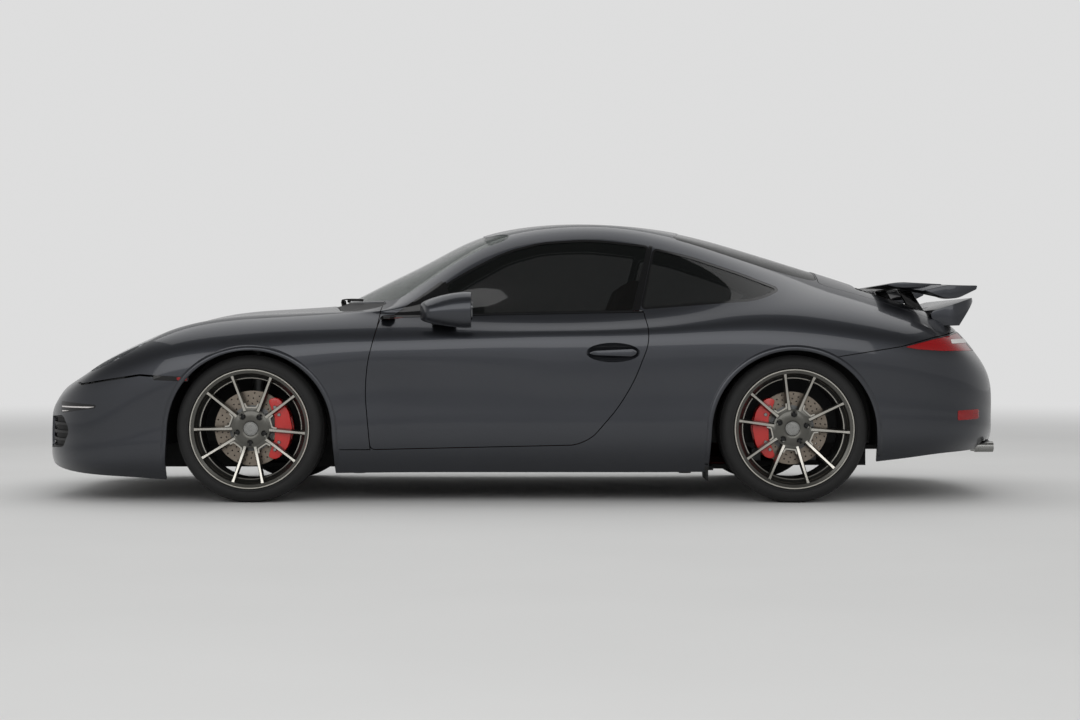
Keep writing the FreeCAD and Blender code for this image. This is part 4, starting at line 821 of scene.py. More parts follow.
strip = panel("belt_strip", (-640, 0, 780), (640, 1100, 900),
              [side_cut(BELT_STRIP), side_cut(DOOR, -HALF_GAP - 1)], inset=-1.5, thick=6.0)
both(strip, "belt_strip", GLOSS_BLACK, "door_%s")


def scoop(name, outline_x, outline_z, depth, rings=10, steps=72):
    """A bowl sunk in the skin within an oval, from half sizes about its middle."""
    (x_low, x_high), (z_low, z_high) = outline_x, outline_z
    bm = bmesh.new()
    verts = [bm.verts.new((k / rings, 0, 0)) for k in range(rings + 1)]
    edges = [bm.edges.new(pair) for pair in zip(verts, verts[1:])]
    bmesh.ops.spin(bm, geom=verts + edges, cent=(0, 0, 0), axis=(0, 0, 1), angle=2 * math.pi,
                   steps=steps, use_merge=True)
    bmesh.ops.remove_doubles(bm, verts=bm.verts, dist=1e-5)
    for vert in bm.verts:
        out = min(math.hypot(vert.co.x, vert.co.y), 1.0)
        x = (x_low + x_high) / 2 + vert.co.x * (x_high - x_low) / 2
        z = (z_low + z_high) / 2 + vert.co.y * (z_high - z_low) / 2
        vert.co = on_side(x, z, -0.5 - depth * (1 - out ** 3)) * MM
    return walled(as_object(name, facing(bm, 1), 60), 2)


# Door handle: an oval cup scooped from the door's skin and a bar across it
cup = painted(scoop("cup", HANDLE_X, HANDLE_Z, 26), PAINT)
HANDLE_BAR = [(-296, 673, 4), (-330, 684, 60), (-500, 692, 30), (-524, 678, 12),
              (-500, 658, 30), (-330, 664, 60)]
bar = panel("handle_bar", (-640, 0, 600), (-200, 1100, 760), [side_cut(HANDLE_BAR)],
            inset=-6.0, thick=9.0)
edge_bevel(painted(bar, PAINT), 3.0, 3)
stalk = solid("stalk", block(-512, -496, 845, 872, 664, 684), PAINT)
both(joined("handle", [cup, bar, stalk]), "door_handle", None, "door_%s")


def pillow(name, low, high, squeeze=None):
    """A smooth rounded form from a cube cage, which squeeze(vert, share) may shape."""
    bm = bmesh.new()
    bmesh.ops.create_cube(bm, size=1)
    bmesh.ops.subdivide_edges(bm, edges=bm.edges, cuts=3, use_grid_fill=True)
    low, high = Vector(low), Vector(high)
    for vert in bm.verts:
        share = vert.co + Vector((0.5, 0.5, 0.5))
        vert.co = (low + Vector(share[k] * (high[k] - low[k]) for k in range(3))) * MM
        if squeeze:
            squeeze(vert, share)
    return refined(as_object(name, bm, 180), 3)


def mirror_shape(vert, share):
    """Full and cut off at the rear, rounded down towards the nose and the outer end."""
    fore = share.x
    height = 1 - 0.62 * max(fore - 0.15, 0) ** 1.8
    middle = 0.862 - 0.012 * fore
    vert.co.z = middle + (vert.co.z - middle) * height * (1 - 0.25 * share.y ** 3)
    vert.co.x += 0.022 * (1 - share.y) * fore - 0.02 * share.y ** 2 * fore
    across, up = 2 * share.y - 1, 2 * share.z - 1
    vert.co.z = middle + (vert.co.z - middle) * (1 - 0.2 * across ** 2)
    vert.co.y = 0.918 + (vert.co.y - 0.918) * (1 - 0.2 * up ** 2)


housing = painted(pillow("mirror_housing", (206, 852, 782), (440, 984, 954), mirror_shape), PAINT)
cut(housing, [block(100, 226, 700, 1100, 700, 1000)], "DIFFERENCE")
mirror_rim = solid("mirror_rim", prism([
    (872, 822, 30), (962, 822, 30), (968, 905, 30), (872, 918, 30)], "YZ", 222, 229),
    GLOSS_BLACK, 2.0)
mirror_pane = solid("mirror_pane", prism([
    (878, 828, 26), (956, 828, 26), (962, 900, 26), (878, 912, 26)], "YZ", 220.5, 224), REFLECTOR)
foot = solid("mirror_foot", prism([
    (288, 800, 8), (316, 840, 10), (400, 836, 10), (410, 800, 8)], "XZ", 800, 905),
    GLOSS_BLACK, 7.0, 3)
cheek = panel("mirror_cheek", (250, 0, 780), (640, 1100, 1000), [side_cut([
    (300, 842, 4), (352, 1000, 4), (372, 1002, 4), (470, 930, 60), (590, 842, 4)])],
    inset=-1.2, thick=6.0)
both(joined("mirror", [housing, mirror_rim, mirror_pane, foot, painted(cheek, GLOSS_BLACK)]),
     "door_mirror", None, "door_%s", "door_fittings_%s")

# Raised round lips of the wheel openings
LIP_WIDE, LIP_HIGH, LIP_STEPS, LIP_ROWS = 30, 7, 96, 8


def arch_lip(name, axle_x, foot_front, foot_rear):
    """A lip swept over the skin round a wheel opening, down to a foot height on each side."""
    bm = bmesh.new()
    bmesh.ops.create_grid(bm, x_segments=LIP_STEPS, y_segments=LIP_ROWS, size=0.5)
    middle, radius = AXLE_Z - ARCH_DROP, ARCH_RADIUS - 0.5
    flare = ARCH_FLARE / (middle + 10)
    fore, aft, half_turn = middle - foot_front, middle - foot_rear, math.pi * radius
    whole = fore + half_turn + aft
    for vert in bm.verts:
        run, out = (vert.co.x + 0.5) * whole, (vert.co.y + 0.5) * LIP_WIDE
        if run < fore:
            down = fore - run
            x, z = radius + flare * down + out, middle - down
        elif run < fore + half_turn:
            turn = (run - fore) / radius
            x, z = (radius + out) * math.cos(turn), middle + (radius + out) * math.sin(turn)
        else:
            down = run - fore - half_turn
            x, z = -(radius + flare * down + out), middle - down
        share = out / LIP_WIDE
        fade = min(run / 60, (whole - run) / 60, 1.0)
        lift = fade * LIP_HIGH * math.sin(math.pi * min(share + 0.14, 1.0)) ** 0.8 - 0.6 * share
        vert.co = on_side(axle_x + x, z, lift) * MM
    return walled(as_object(name, facing(bm, 1), 60), 9)


both(arch_lip("front_arch_lip", AXLE_X, 140, 165), "front_arch_lip", PAINT)
both(arch_lip("rear_arch_lip", -AXLE_X, 165, 205), "rear_arch_lip", PAINT)

# Ducktail on the engine lid and the raised blade over it
DUCKTAIL = [(-1935, 800, 0), (-1890, 862, 60), (-2108, 931, 4), (-2114, 914, 4), (-2035, 800, 0)]
DUCKTAIL_TOP = [(-1800, 545, 0), (-1800, -545, 0), (-2010, -586, 60), (-2118, -530, 150),
                (-2118, 530, 150), (-2010, 586, 60)]
tail = as_object("ducktail", prism(DUCKTAIL, "XZ", -600, 600))
cut(tail, [top_cut(DUCKTAIL_TOP, 0, 600)], "INTERSECT")
edge_bevel(tail, 3.5, 3)
dress(tail, "engine_lid", PAINT)
BLADE = [(-1683, 992, 5), (-1760, 1003, 300), (-1955, 993, 3), (-1952, 984, 3),
         (-1760, 974, 300)]
BLADE_END = [(-1850, 962, 5), (-1960, 986, 60), (-2102, 984, 4), (-2096, 966, 4),
             (-1985, 912, 120)]
STRUT = [(-1790, 985, 0), (-1850, 985, 0), (-1930, 860, 0), (-1860, 860, 0)]
BLADE_HALF, BLADE_END_OUT = 565, 655
wing = [solid("blade", prism(BLADE, "XZ", -BLADE_HALF, BLADE_HALF), PAINT, 2.5, 3)]
for low, high in ((BLADE_HALF - 8, BLADE_END_OUT), (-BLADE_END_OUT, 8 - BLADE_HALF)):
    wing.append(solid("blade_end", prism(BLADE_END, "XZ", low, high), PAINT, 4.0, 3))
# The blade's ends sweep back and down to the end pieces
for side in (1, -1):
    bm = merged(prism(BLADE, "XZ", *sorted((side * 470, side * 474))),
                prism(BLADE_END, "XZ", *sorted((side * 596, side * 600))))
    hull = bmesh.ops.convex_hull(bm, input=bm.verts)
    shell = {face for face in hull["geom"] if isinstance(face, bmesh.types.BMFace)}
    bmesh.ops.delete(bm, geom=[face for face in bm.faces if face not in shell], context="FACES")
    bmesh.ops.recalc_face_normals(bm, faces=bm.faces)
    wing.append(painted(as_object("blade_sweep", bm, 40), PAINT))
for y in (-320, 290):
    wing.append(solid("strut", prism(STRUT, "XZ", y, y + 30), GLOSS_BLACK, 4.0, 3))
dress(joined("rear_blade", wing), "engine_lid", None, ["rear_wing"])

# Headlamps: a clear cover over a dark bowl with three ringed lamps
lamp_box = ((1500, 300, 380), (2100, 900, 900))
cover = panel("headlamp_cover", *lamp_box, [headlamp_cut(FIT)], thick=3.0)
both(cover, "headlamp_cover", LENS, left_for="headlamps")
bowl_floor = painted(panel("bowl_floor", *lamp_box, [headlamp_cut(FIT)], inset=66.0,
                           thick=3.0), GLOSS_BLACK)
bowl_wall = painted(panel("bowl_wall", *lamp_box, [headlamp_cut(FIT)], [headlamp_cut(FIT - 4)],
                          inset=3.2, thick=64.0), GLOSS_BLACK)
LAMP_AXIS = Vector((0.82, 0.2, 0.5)).normalized()
# Columns: x, y, depth under the skin, radius
UNITS = [(1812, 622, 42, 62), (1700, 660, 30, 30), (1905, 570, 30, 26)]
lamp_pieces = [bowl_floor, bowl_wall]
for x, y, depth, radius in UNITS:
    centre = on_top(x, y, -depth)
    lamp_pieces.append(painted(lathe("lamp_ring", [
        (radius, -14), (radius, 4), (radius - 3, 7), (radius - 7, 4), (radius - 12, -12)],
        centre, LAMP_AXIS, 64), REFLECTOR))
    dome = [(0.01, 16)] + [(radius * 0.72 * math.sin(turn), 16 * math.cos(turn) - 2)
                           for turn in (0.4, 0.8, 1.2, 1.57)] + [(0.01, -4)]
    lamp_pieces.append(painted(lathe("lamp_eye", dome, centre, LAMP_AXIS, 48), LENS_WHITE))
both(joined("headlamp_inner", lamp_pieces), "headlamp_inner", None)

# Nose: running-light strips, side markers and the slatted intakes
STRIP_LIGHT = [(2128, 452, 8), (1930, 438, 5), (1934, 424, 5), (2120, 398, 8)]
LIGHT_BOX = ((1850, 300, 350), (2250, 900, 500))
TRIM_SHEET = {"inset": -1.2, "thick": 5.0}
lines = [painted(panel("running_light", *LIGHT_BOX, [side_cut(STRIP_LIGHT)], **TRIM_SHEET),
                 GLOSS_BLACK)]
for low in (404, 424):
    line = panel("light_line", *LIGHT_BOX,
                 [side_cut(STRIP_LIGHT, -5), block(1850, 2300, 300, 1000, low, low + 6)],
                 inset=-2.6, thick=5.0)
    lines.append(painted(line, LENS_WHITE))
both(joined("light_strip", lines), "running_light", None)
MARKER = [(1492, 566, 6), (1655, 574, 8), (1660, 552, 8), (1496, 546, 6)]
MARKER_BOX = ((1400, 500, 500), (1750, 1000, 620))
marker = [
    painted(panel("marker_bed", *MARKER_BOX, [side_cut(MARKER)], inset=-1.2, thick=6.0),
            GLOSS_BLACK),
    painted(panel("marker_lamp", *MARKER_BOX, [
        side_cut([(1500, 563, 4), (1548, 566, 4), (1546, 552, 4), (1502, 550, 4)])],
        inset=-2.4, thick=6.0), LENS_RED)]
both(joined("marker", marker), "side_marker", None)
# Trim strip beyond the tail lamps
TAIL_STRIP = [(-2046, 768, 2), (-2098, 684, 2), (-2300, 682, 0), (-2300, 700, 0), (-2130, 700, 8),
              (-2066, 768, 2)]
strip = panel("tail_strip", (-2300, -1000, 600), (-1980, 1000, 850),
              [prism(TAIL_STRIP, "XZ", -1000, 1000)], **TRIM_SHEET)
dress(strip, "body", GLOSS_BLACK)
NOSE_BOX = ((1850, -900, 100), (2300, 900, 450))
for name, outline, low, high in (("side", INTAKE, 220, 400), ("middle", INTAKE_MIDDLE, 150, 270)):
    slats = []
    for k in range(5):
        z = low + (high - low) * (k + 0.5) / 5
        slat = panel("slat", *NOSE_BOX,
                     [prism(outline, "YZ", 1850, 2400, 6), block(1850, 2400, -900, 900, z - 6, z + 6)],
                     inset=10.0 + 3 * (k % 2), thick=9.0)
        slats.append(painted(slat, TRIM))
    slats.append(painted(panel("backing", *NOSE_BOX, [prism(outline, "YZ", 1850, 2400, 12)],
                               inset=24.0, thick=4.0), RUBBER))
    if name == "side":
        both(joined("intake_side", slats), "intake_side", None,
             left_for="intake_grilles")
    else:
        dress(joined("intake_middle", slats), "body", None)

# Tail lamps: red lens with a white bar, over a dark bed
TAIL_BOX = ((-2300, 300, 600), (-1650, 1000, 850))
lens = panel("tail_lens", *TAIL_BOX, [prism(TAIL_LAMP, "XZ", TAIL_LAMP_INNER, 1100)],
             inset=-0.5, thick=5.0)
both(lens, "tail_lamp_lens", LENS_RED, left_for="tail_lamps")
bed = panel("tail_bed", *TAIL_BOX, [prism(TAIL_LAMP, "XZ", TAIL_LAMP_INNER, 1100, 0.5)],
            inset=16.0, thick=4.0)
both(bed, "tail_lamp_bed", RUBBER)
WHITE_BAR = [(-1960, 735, 3), (-2130, 742, 3), (-2130, 722, 3), (-1960, 716, 3)]
white = panel("white_bar", *TAIL_BOX, [prism(WHITE_BAR, "XZ", TAIL_LAMP_INNER + 10, 1100)],
              inset=-1.6, thick=4.0)
both(white, "tail_lamp_bar", LENS_WHITE)
REFLECTOR_MARK = [(-1976, 412, 6), (-2096, 416, 6), (-2096, 372, 6), (-1976, 368, 6)]
reflector = panel("rear_reflector", (-2200, 300, 300), (-1900, 1000, 480),
                  [side_cut(REFLECTOR_MARK)], **TRIM_SHEET)
both(reflector, "rear_reflector", LENS_RED)

# Wheels. Columns: axle, axle x, half track, tyre half width, disc radius, turn of the
# first lug from the top, and which side of the disc the caliper sits on
WHEELS = [("front", AXLE_X, 769, 120, 170, 34, -1), ("rear", -AXLE_X, 756, 143, 165, -6, 1)]
TYRE_R, RIM_R, SEAT_R, SHOULDER_IN, SIDE_IN = 332, 271, 256, 30, 13
TREAD_STEPS, GROOVE = 144, 6
TREAD_RIBS = [(-0.92, -0.56), (-0.48, -0.12), (-0.04, 0.04), (0.12, 0.48), (0.56, 0.92)]
HUB_Y, LUG_CIRCLE_R, SPOKE_FOOT_R = 72, 65, 84


def tyre(name, axle_x, axle_y, half):
    """A road tyre with four tread grooves, block shoulders and a rim protector rib."""
    tread = half - SHOULDER_IN
    crown = []
    for low_share, high_share in TREAD_RIBS:
        low, high = low_share * tread, high_share * tread
        crown += [(TYRE_R - GROOVE, low), (TYRE_R - 2.2, low + 0.5), (TYRE_R - 2.2, high - 0.5),
                  (TYRE_R - GROOVE, high)]
    crown = crown[1:-1]
    outer = [(TYRE_R - 5, tread + 6), (TYRE_R - 15, half - 8), (TYRE_R - 28, half - 1.5),
             (TYRE_R - 40, half), (RIM_R + 12, half - 3), (RIM_R + 7, half - 1.5),
             (RIM_R + 3, half - 3), (RIM_R, half - SIDE_IN + 0.5), (SEAT_R, half - SIDE_IN - 0.5)]
    inner = [(radius, -y) for radius, y in reversed(outer)]
    piece = lathe(name, inner + crown + outer, (axle_x, axle_y, AXLE_Z), steps=TREAD_STEPS)
    bm = bmesh.new()
    bm.from_mesh(piece.data)
    centre = Vector((axle_x, axle_y, AXLE_Z)) * MM
    spots = [(face, (face.calc_center_median() - centre) / MM) for face in bm.faces]
    blocks = [face for face, spot in spots
              if math.hypot(spot.x, spot.z) > TYRE_R - 3.5 and abs(spot.y) > 0.1 * tread]
    bmesh.ops.inset_individual(bm, faces=blocks, thickness=1.6 * MM, depth=2.0 * MM)
    bm.to_mesh(piece.data)
    bm.free()
    return painted(shaded(piece, 35), TYRE)


def spoke(rim_y, outer_r):
    """One thin upright spoke, bowed in depth, with a bright front face."""
    bm = bmesh.new()
    bmesh.ops.create_cube(bm, size=1)
    long_edges = [e for e in bm.edges if abs(e.verts[0].co.z - e.verts[1].co.z) > 0.5]
    bmesh.ops.subdivide_edges(bm, edges=long_edges, cuts=10)
    for vert in bm.verts:
        t = vert.co.z + 0.5
        wide = 27 + (19 - 27) * t + 9 * max(t - 0.86, 0) / 0.14
        deep = 32 - 8 * t
        face = HUB_Y + (rim_y - HUB_Y) * t ** 1.35
        front = vert.co.y > 0
        flank = 0.42 if front else 1.0
        vert.co = Vector((vert.co.x * wide * flank, face if front else face - deep,
                          SPOKE_FOOT_R + (outer_r - SPOKE_FOOT_R) * t)) * MM
    bm.normal_update()
    for face in bm.faces:
        if face.normal.y > 0.85:
            face.material_index = 1
    return bm


def rim(name, axle_x, axle_y, half, first_turn):
    """A ten-spoke wheel: barrel with a bright lip, hub, webs, spokes, lugs and a plain cap."""
    bead = half - SIDE_IN
    face, centre = bead + 9, (axle_x, axle_y, AXLE_Z)
    place = Matrix.Translation(Vector(centre) * MM)
    barrel = lathe("barrel", [
        (SEAT_R - 1, -bead + 6), (SEAT_R + 3, -bead - 2), (RIM_R - 2, -bead - 4),
        (RIM_R - 2, -bead - 8), (SEAT_R - 6, -bead - 8), (SEAT_R - 14, -bead + 6),
        (SEAT_R - 30, -bead + 40), (SEAT_R - 30, face - 62), (SEAT_R - 24, face - 54),
        (SEAT_R - 24, face - 46), (SEAT_R - 13, face - 34), (SEAT_R - 8, face - 14),
        (SEAT_R - 5, face - 9), (SEAT_R - 1, bead - 10)], centre, steps=120)
    slope = lathe("rim_slope", [
        (SEAT_R - 14, face - 34), (SEAT_R - 5, face - 9), (RIM_R - 9, face - 3),
        (RIM_R - 8, bead + 1), (SEAT_R - 6, bead - 10)], centre, steps=120)
    lip = lathe("rim_lip", [
        (RIM_R - 9, face - 3), (RIM_R - 7, face), (RIM_R - 2, face), (RIM_R - 0.5, face - 2),
        (RIM_R - 0.5, bead + 1), (RIM_R - 8, bead + 1)], centre, steps=120)
    inner_ring = lathe("inner_ring", [
        (SEAT_R - 29, face - 60), (SEAT_R - 23, face - 60), (SEAT_R - 23, face - 50),
        (SEAT_R - 25, face - 47), (SEAT_R - 29, face - 50)], centre, steps=120)
    # From here on, offsets are along the axle from the hub's face
    hub_face = (axle_x, axle_y + HUB_Y, AXLE_Z)
    hub = painted(lathe("hub", [(33, -30), (33, -2), (36, 0), (50, 1), (76, -2), (87, -7),
                                (89, -30)], hub_face, steps=96), RIM_GREY)
    # The barrel, and below the lug cups, take the enamel painted darker as painted shade
    rings = [painted(barrel, SHADED_BARREL_ENAMEL), painted(slope, RIM_GREY), painted(lip, MACHINED),
             painted(inner_ring, MACHINED)]
    spokes, bolts = [], []
    for k in range(5):
        turn = first_turn + 72 * k
        for spread in (-15.5, 15.5):
            bm = spoke(face - 9, SEAT_R - 6)
            bm.transform(place @ turn_matrix(turn + spread, "Y"))
            bar = as_object("spoke", bm, 30)
            bar.data.materials.append(RIM_GREY)
            bar.data.materials.append(MACHINED)
            spokes.append(bar)
        # A bright edge joins the spokes of neighbouring pairs round the hub
        between = place @ turn_matrix(turn + 36, "Y")
        bm = prism([(-34, 112, 0), (-25, 92, 8), (25, 92, 8), (34, 112, 0), (28, 114, 0),
                    (20, 98, 6), (-20, 98, 6), (-28, 114, 0)], "XZ", HUB_Y - 12, HUB_Y + 1.5)
        bm.transform(between)
        spokes.append(solid("hub_edge", bm, MACHINED))
        bm = prism([(-40, 60, 0), (40, 60, 0), (34, 96, 4), (-34, 96, 4)], "XZ",
                   HUB_Y - 28, HUB_Y - 3)
        bm.transform(between)
        spokes.append(solid("web", bm, RIM_GREY, 2.0))
        bolts.append(Vector(hub_face) + turn_matrix(turn, "Y") @ Vector((0, 0, LUG_CIRCLE_R)))
    cutters = [cylinder(spot + Vector((0, -14, 0)), spot + Vector((0, 20, 0)), 15, 32)
               for spot in bolts]
    parts = rings + spokes + [cut(hub, cutters, "DIFFERENCE")]
    for spot in bolts:
        cup = lathe("lug_cup", [(15, -14), (15, -3), (13.5, -3), (13.5, -13), (0.01, -13),
                                (0.01, -14)], spot, steps=32)
        head = lathe("lug_bolt", [(0.01, -13.5), (10.5, -13.5), (10.5, -4), (9, -2), (5.5, -2),
                                  (5.5, -7), (0.01, -7)], spot, steps=6, sharp=20)
        parts += [painted(cup, SHADED_BARREL_ENAMEL), painted(head, GLOSS_BLACK)]
    cap = lathe("centre_cap", [(33, -8), (33, 1), (30.5, 3), (27, 3), (26, 1.8), (12, 2.6),
                               (0.01, 2.8), (0.01, -8)], hub_face, steps=64)
    parts.append(painted(cap, STEEL))
    return joined(name, parts)


def brake_disc(name, axle_x, axle_y, radius):
    """A drilled two-piece disc with its hat and a vented edge."""
    centre = (axle_x, axle_y, AXLE_Z)
    disc = lathe("friction_ring", [(104, -9), (radius, -9), (radius, 3), (radius - 10, 4),
                                   (radius - 10, 8), (radius, 9), (radius, 21), (104, 21)],
                 centre, steps=120)
    bm = bmesh.new()
    for row in range(18):
        for k in range(5):
            turn = math.radians(row * 20 + k * 9)
            out = 112 + k * (radius - 122) / 4
            x, z = axle_x + out * math.sin(turn), AXLE_Z + out * math.cos(turn)
            merged(bm, cylinder((x, axle_y - 12, z), (x, axle_y + 24, z), 3.6, 10))
    shaded(cut(disc, [bm], "DIFFERENCE"), 35)
    hat = lathe("disc_hat", [(41, 40), (78, 40), (82, 36), (84, 22), (104, 20), (104, 12),
                             (78, 12), (76, 34), (41, 34)], centre, steps=72)
    return joined(name, [painted(disc, IRON), painted(hat, CAST)])


def caliper(name, axle_x, axle_y, radius, toward):
    """A red fixed caliper over the disc's edge, with pads and bridge bolts."""
    reach, inner, high = radius + 16, 106, 132

    def across(outline, low, top):
        """A prism beside the disc, over an outline from the axle."""
        return prism([(axle_x + toward * out, AXLE_Z + up, r) for out, up, r in outline],
                     "XZ", axle_y + low, axle_y + top)

    def slot_for(low, top, slot_radius):
        return cylinder((axle_x, axle_y + low, AXLE_Z), (axle_x, axle_y + top, AXLE_Z),
                        slot_radius, 96)

    outline = [(reach * math.cos(math.radians(angle)), reach * math.sin(math.radians(angle)), 60)
               for angle in (-50, -25, 0, 25, 50)]
    outline += [(inner * 0.7, high, 14), (inner, 50, 60), (inner, -50, 60),
                (inner * 0.7, -high, 14)]
    shell = as_object("caliper_shell", across(outline, -41, 52))
    cut(shell, [slot_for(-13, 25, radius + 4)], "DIFFERENCE")
    window = [(radius - 42, -52, 6), (radius + 40, -52, 6), (radius + 40, 52, 6),
              (radius - 42, 52, 6)]
    cut(shell, [across(window, -24, 35)], "DIFFERENCE")
    parts = [edge_bevel(painted(shell, CALIPER_RED), 3.5, 3)]
    for z in (-96, -62, 62, 96):
        out = math.sqrt(max((radius - 6) ** 2 - z ** 2, 0)) - 26
        spot = (axle_x + toward * out, axle_y, AXLE_Z + z)
        parts.append(painted(lathe("caliper_bolt", [
            (0.01, 50), (8, 50), (8, 57), (6.5, 59), (4, 59), (4, 55), (0.01, 55)],
            spot, steps=24), STEEL))
    pads = solid("pads", across([(112, -46, 6), (radius - 2, -46, 6), (radius - 2, 46, 6),
                                 (112, 46, 6)], -23, 34), RUBBER)
    parts.append(cut(pads, [slot_for(-9.5, 21.5, radius + 30)], "DIFFERENCE"))
    return joined(name, parts)


for axle, axle_x, axle_y, half, disc_r, first_turn, toward in WHEELS:
    for name, slot, make, sizes in (("tyre", "tyre", tyre, (half,)),
                                    ("rim", "rim", rim, (half, first_turn)),
                                    ("brake_disc", "disc", brake_disc, (disc_r,))):
        both(make(name, axle_x, axle_y, *sizes), axle + "_" + name, None,
             "wheel_" + axle + "_%s", name + "_" + axle + "_%s")
    made = caliper("caliper", axle_x, axle_y, disc_r, toward)
    if axle == "front":
        both(made, "front_caliper", None, "knuckle_%s", "caliper_front_%s")
    else:
        both(made, "rear_caliper", None, left_for="calipers_rear")

# Cabin: padded seats, dash, steering wheel, door cards, lining and carpets


def swell(value, low, high):
    """0 below low, 1 above high and smooth between."""
    share = min(max((value - low) / (high - low), 0.0), 1.0)
    return share * share * (3 - 2 * share)


PAD_VOXEL, PAD_PRESSURE, PAD_FRAMES, PAD_CAP = 9, 4.0, 20, 24


def stuffed(name, bm, shape, seams, material):
    """A padded piece: an even mesh, shaped, blown up as cloth, then sewn in along seams."""
    piece = as_object(name, bm, 180)
    even = piece.modifiers.new("even", "REMESH")
    even.mode = "VOXEL"
    even.voxel_size = PAD_VOXEL * MM
    applied(piece)
    for vert in piece.data.vertices:
        vert.co = shape(vert.co / MM) * MM
    before = [vert.co.copy() for vert in piece.data.vertices]
    cloth = piece.modifiers.new("stuffing", "CLOTH")
    cloth.settings.use_pressure = True
    cloth.settings.uniform_pressure_force = PAD_PRESSURE
    cloth.settings.effector_weights.gravity = 0
    for number in range(1, PAD_FRAMES + 1):
        bpy.context.scene.frame_set(number)
    applied(piece)
    bpy.context.scene.frame_set(1)
    for vert, start in zip(piece.data.vertices, before):
        move = vert.co - start
        if move.length > PAD_CAP * MM:
            vert.co = start + move.normalized() * PAD_CAP * MM
    refined(piece, 1)
    normals = [vert.normal.copy() for vert in piece.data.vertices]
    for vert, normal in zip(piece.data.vertices, normals):
        spot = vert.co / MM
        sunk = sum(depth * math.exp(-(away(spot) / wide) ** 2) for away, depth, wide in seams)
        vert.co -= normal * sunk * MM
    piece.data.polygons.foreach_set("use_smooth", [True] * len(piece.data.polygons))
    return painted(piece, material)


SEAT_Y, BOLSTER = 365, 150
CUSHION = [(-278, 246, 50), (238, 262, 50), (250, 372, 70), (-262, 330, 40)]
BACK = [(-292, 262, 50), (-222, 330, 70), (-408, 800, 200), (-505, 1042, 50), (-572, 1034, 50),
        (-490, 720, 300)]


def cushion_shape(spot):
    """Side rolls, and a front edge that falls away."""
    out = abs(spot.y - SEAT_Y)
    upper = swell(spot.z, 290, 345)
    return Vector((spot.x, spot.y, spot.z + upper * (
        34 * swell(out, 110, 185) - 16 * swell(out, 190, 238) - 22 * swell(spot.x, 120, 250))))


def back_shape(spot):
    """Wings beside the back, and shoulders that narrow to the headrest."""
    out = abs(spot.y - SEAT_Y)
    fore = swell(spot.x, -500 - (spot.z - 700) * 0.3, -420 - (spot.z - 700) * 0.3)
    wing = 46 * swell(out, 120, 190) * (1 - swell(spot.z, 640, 800))
    waist = 1 - 0.1 * swell(spot.z, 560, 700) - 0.42 * swell(spot.z, 790, 900)
    waist += 0.06 * swell(spot.z, 900, 960)
    return Vector((spot.x + fore * wing, SEAT_Y + (spot.y - SEAT_Y) * waist, spot.z))


def across_seam(z):
    return lambda spot: spot.z - z


def along_seam(offset, low, high):
    """Distance from a lengthwise seam, one each side of the seat's middle."""
    return lambda spot: (abs(spot.y - SEAT_Y) - offset) if low < spot.z < high else 99.0


def seat_row(x):
    return lambda spot: spot.x - x if spot.z > 320 and abs(spot.y - SEAT_Y) < BOLSTER else 99.0


def back_row(z):
    return lambda spot: spot.z - z if abs(spot.y - SEAT_Y) < 120 and spot.x > (
        -430 - (z - 600) * 0.42) else 99.0


cushion = stuffed("seat_cushion", prism(CUSHION, "XZ", SEAT_Y - 232, SEAT_Y + 232, 0, 12),
                  cushion_shape, [(along_seam(BOLSTER, 0, 999), 7, 7)]
                  + [(seat_row(x), 4, 6) for x in range(-190, 200, 65)], RED_LEATHER)
back = stuffed("seat_back", prism(BACK, "XZ", SEAT_Y - 218, SEAT_Y + 218, 0, 12), back_shape,
               [(along_seam(128, 0, 780), 7, 7), (across_seam(800), 6, 7)]
               + [(back_row(z), 4, 6) for z in range(440, 780, 68)], RED_LEATHER)
both(cushion, "seat_cushion", None)
both(back, "seat_back", None, left_for="seats")
REAR_SEAT_Y = 345
REAR_SQUAB = [(-978, 415, 30), (-712, 395, 50), (-705, 465, 50), (-866, 458, 60),
              (-935, 758, 50), (-976, 758, 20)]


def rear_shape(spot):
    """A dished seat and back, deepest in the middle."""
    dish = 14 * (1 - min(abs(spot.y - REAR_SEAT_Y) / 200, 1.0) ** 2)
    return spot - Vector((dish * swell(spot.z, 480, 560), 0, dish * (1 - swell(spot.z, 480, 560))))


rear_squab = stuffed("rear_seat", prism(REAR_SQUAB, "XZ", 142, 548, 0, 12), rear_shape,
                     [(lambda spot: abs(spot.y - REAR_SEAT_Y) - 130, 6, 7),
                      (across_seam(610), 4, 6)], RED_LEATHER)
both(rear_squab, "rear_seat", None)
base = solid("seat_base", prism([(-235, 168, 10), (215, 168, 10), (200, 250, 20),
                                 (-225, 250, 20)], "XZ", SEAT_Y - 185, SEAT_Y + 185), TRIM, 6.0)
both(base, "seat_base", None)
rails = [solid("rail", block(-300, 300, y, y + 20, 155, 172), STEEL, 2.0)
         for y in (SEAT_Y - 170, SEAT_Y + 150)]
both(joined("seat_rails", rails), "seat_rails", None)

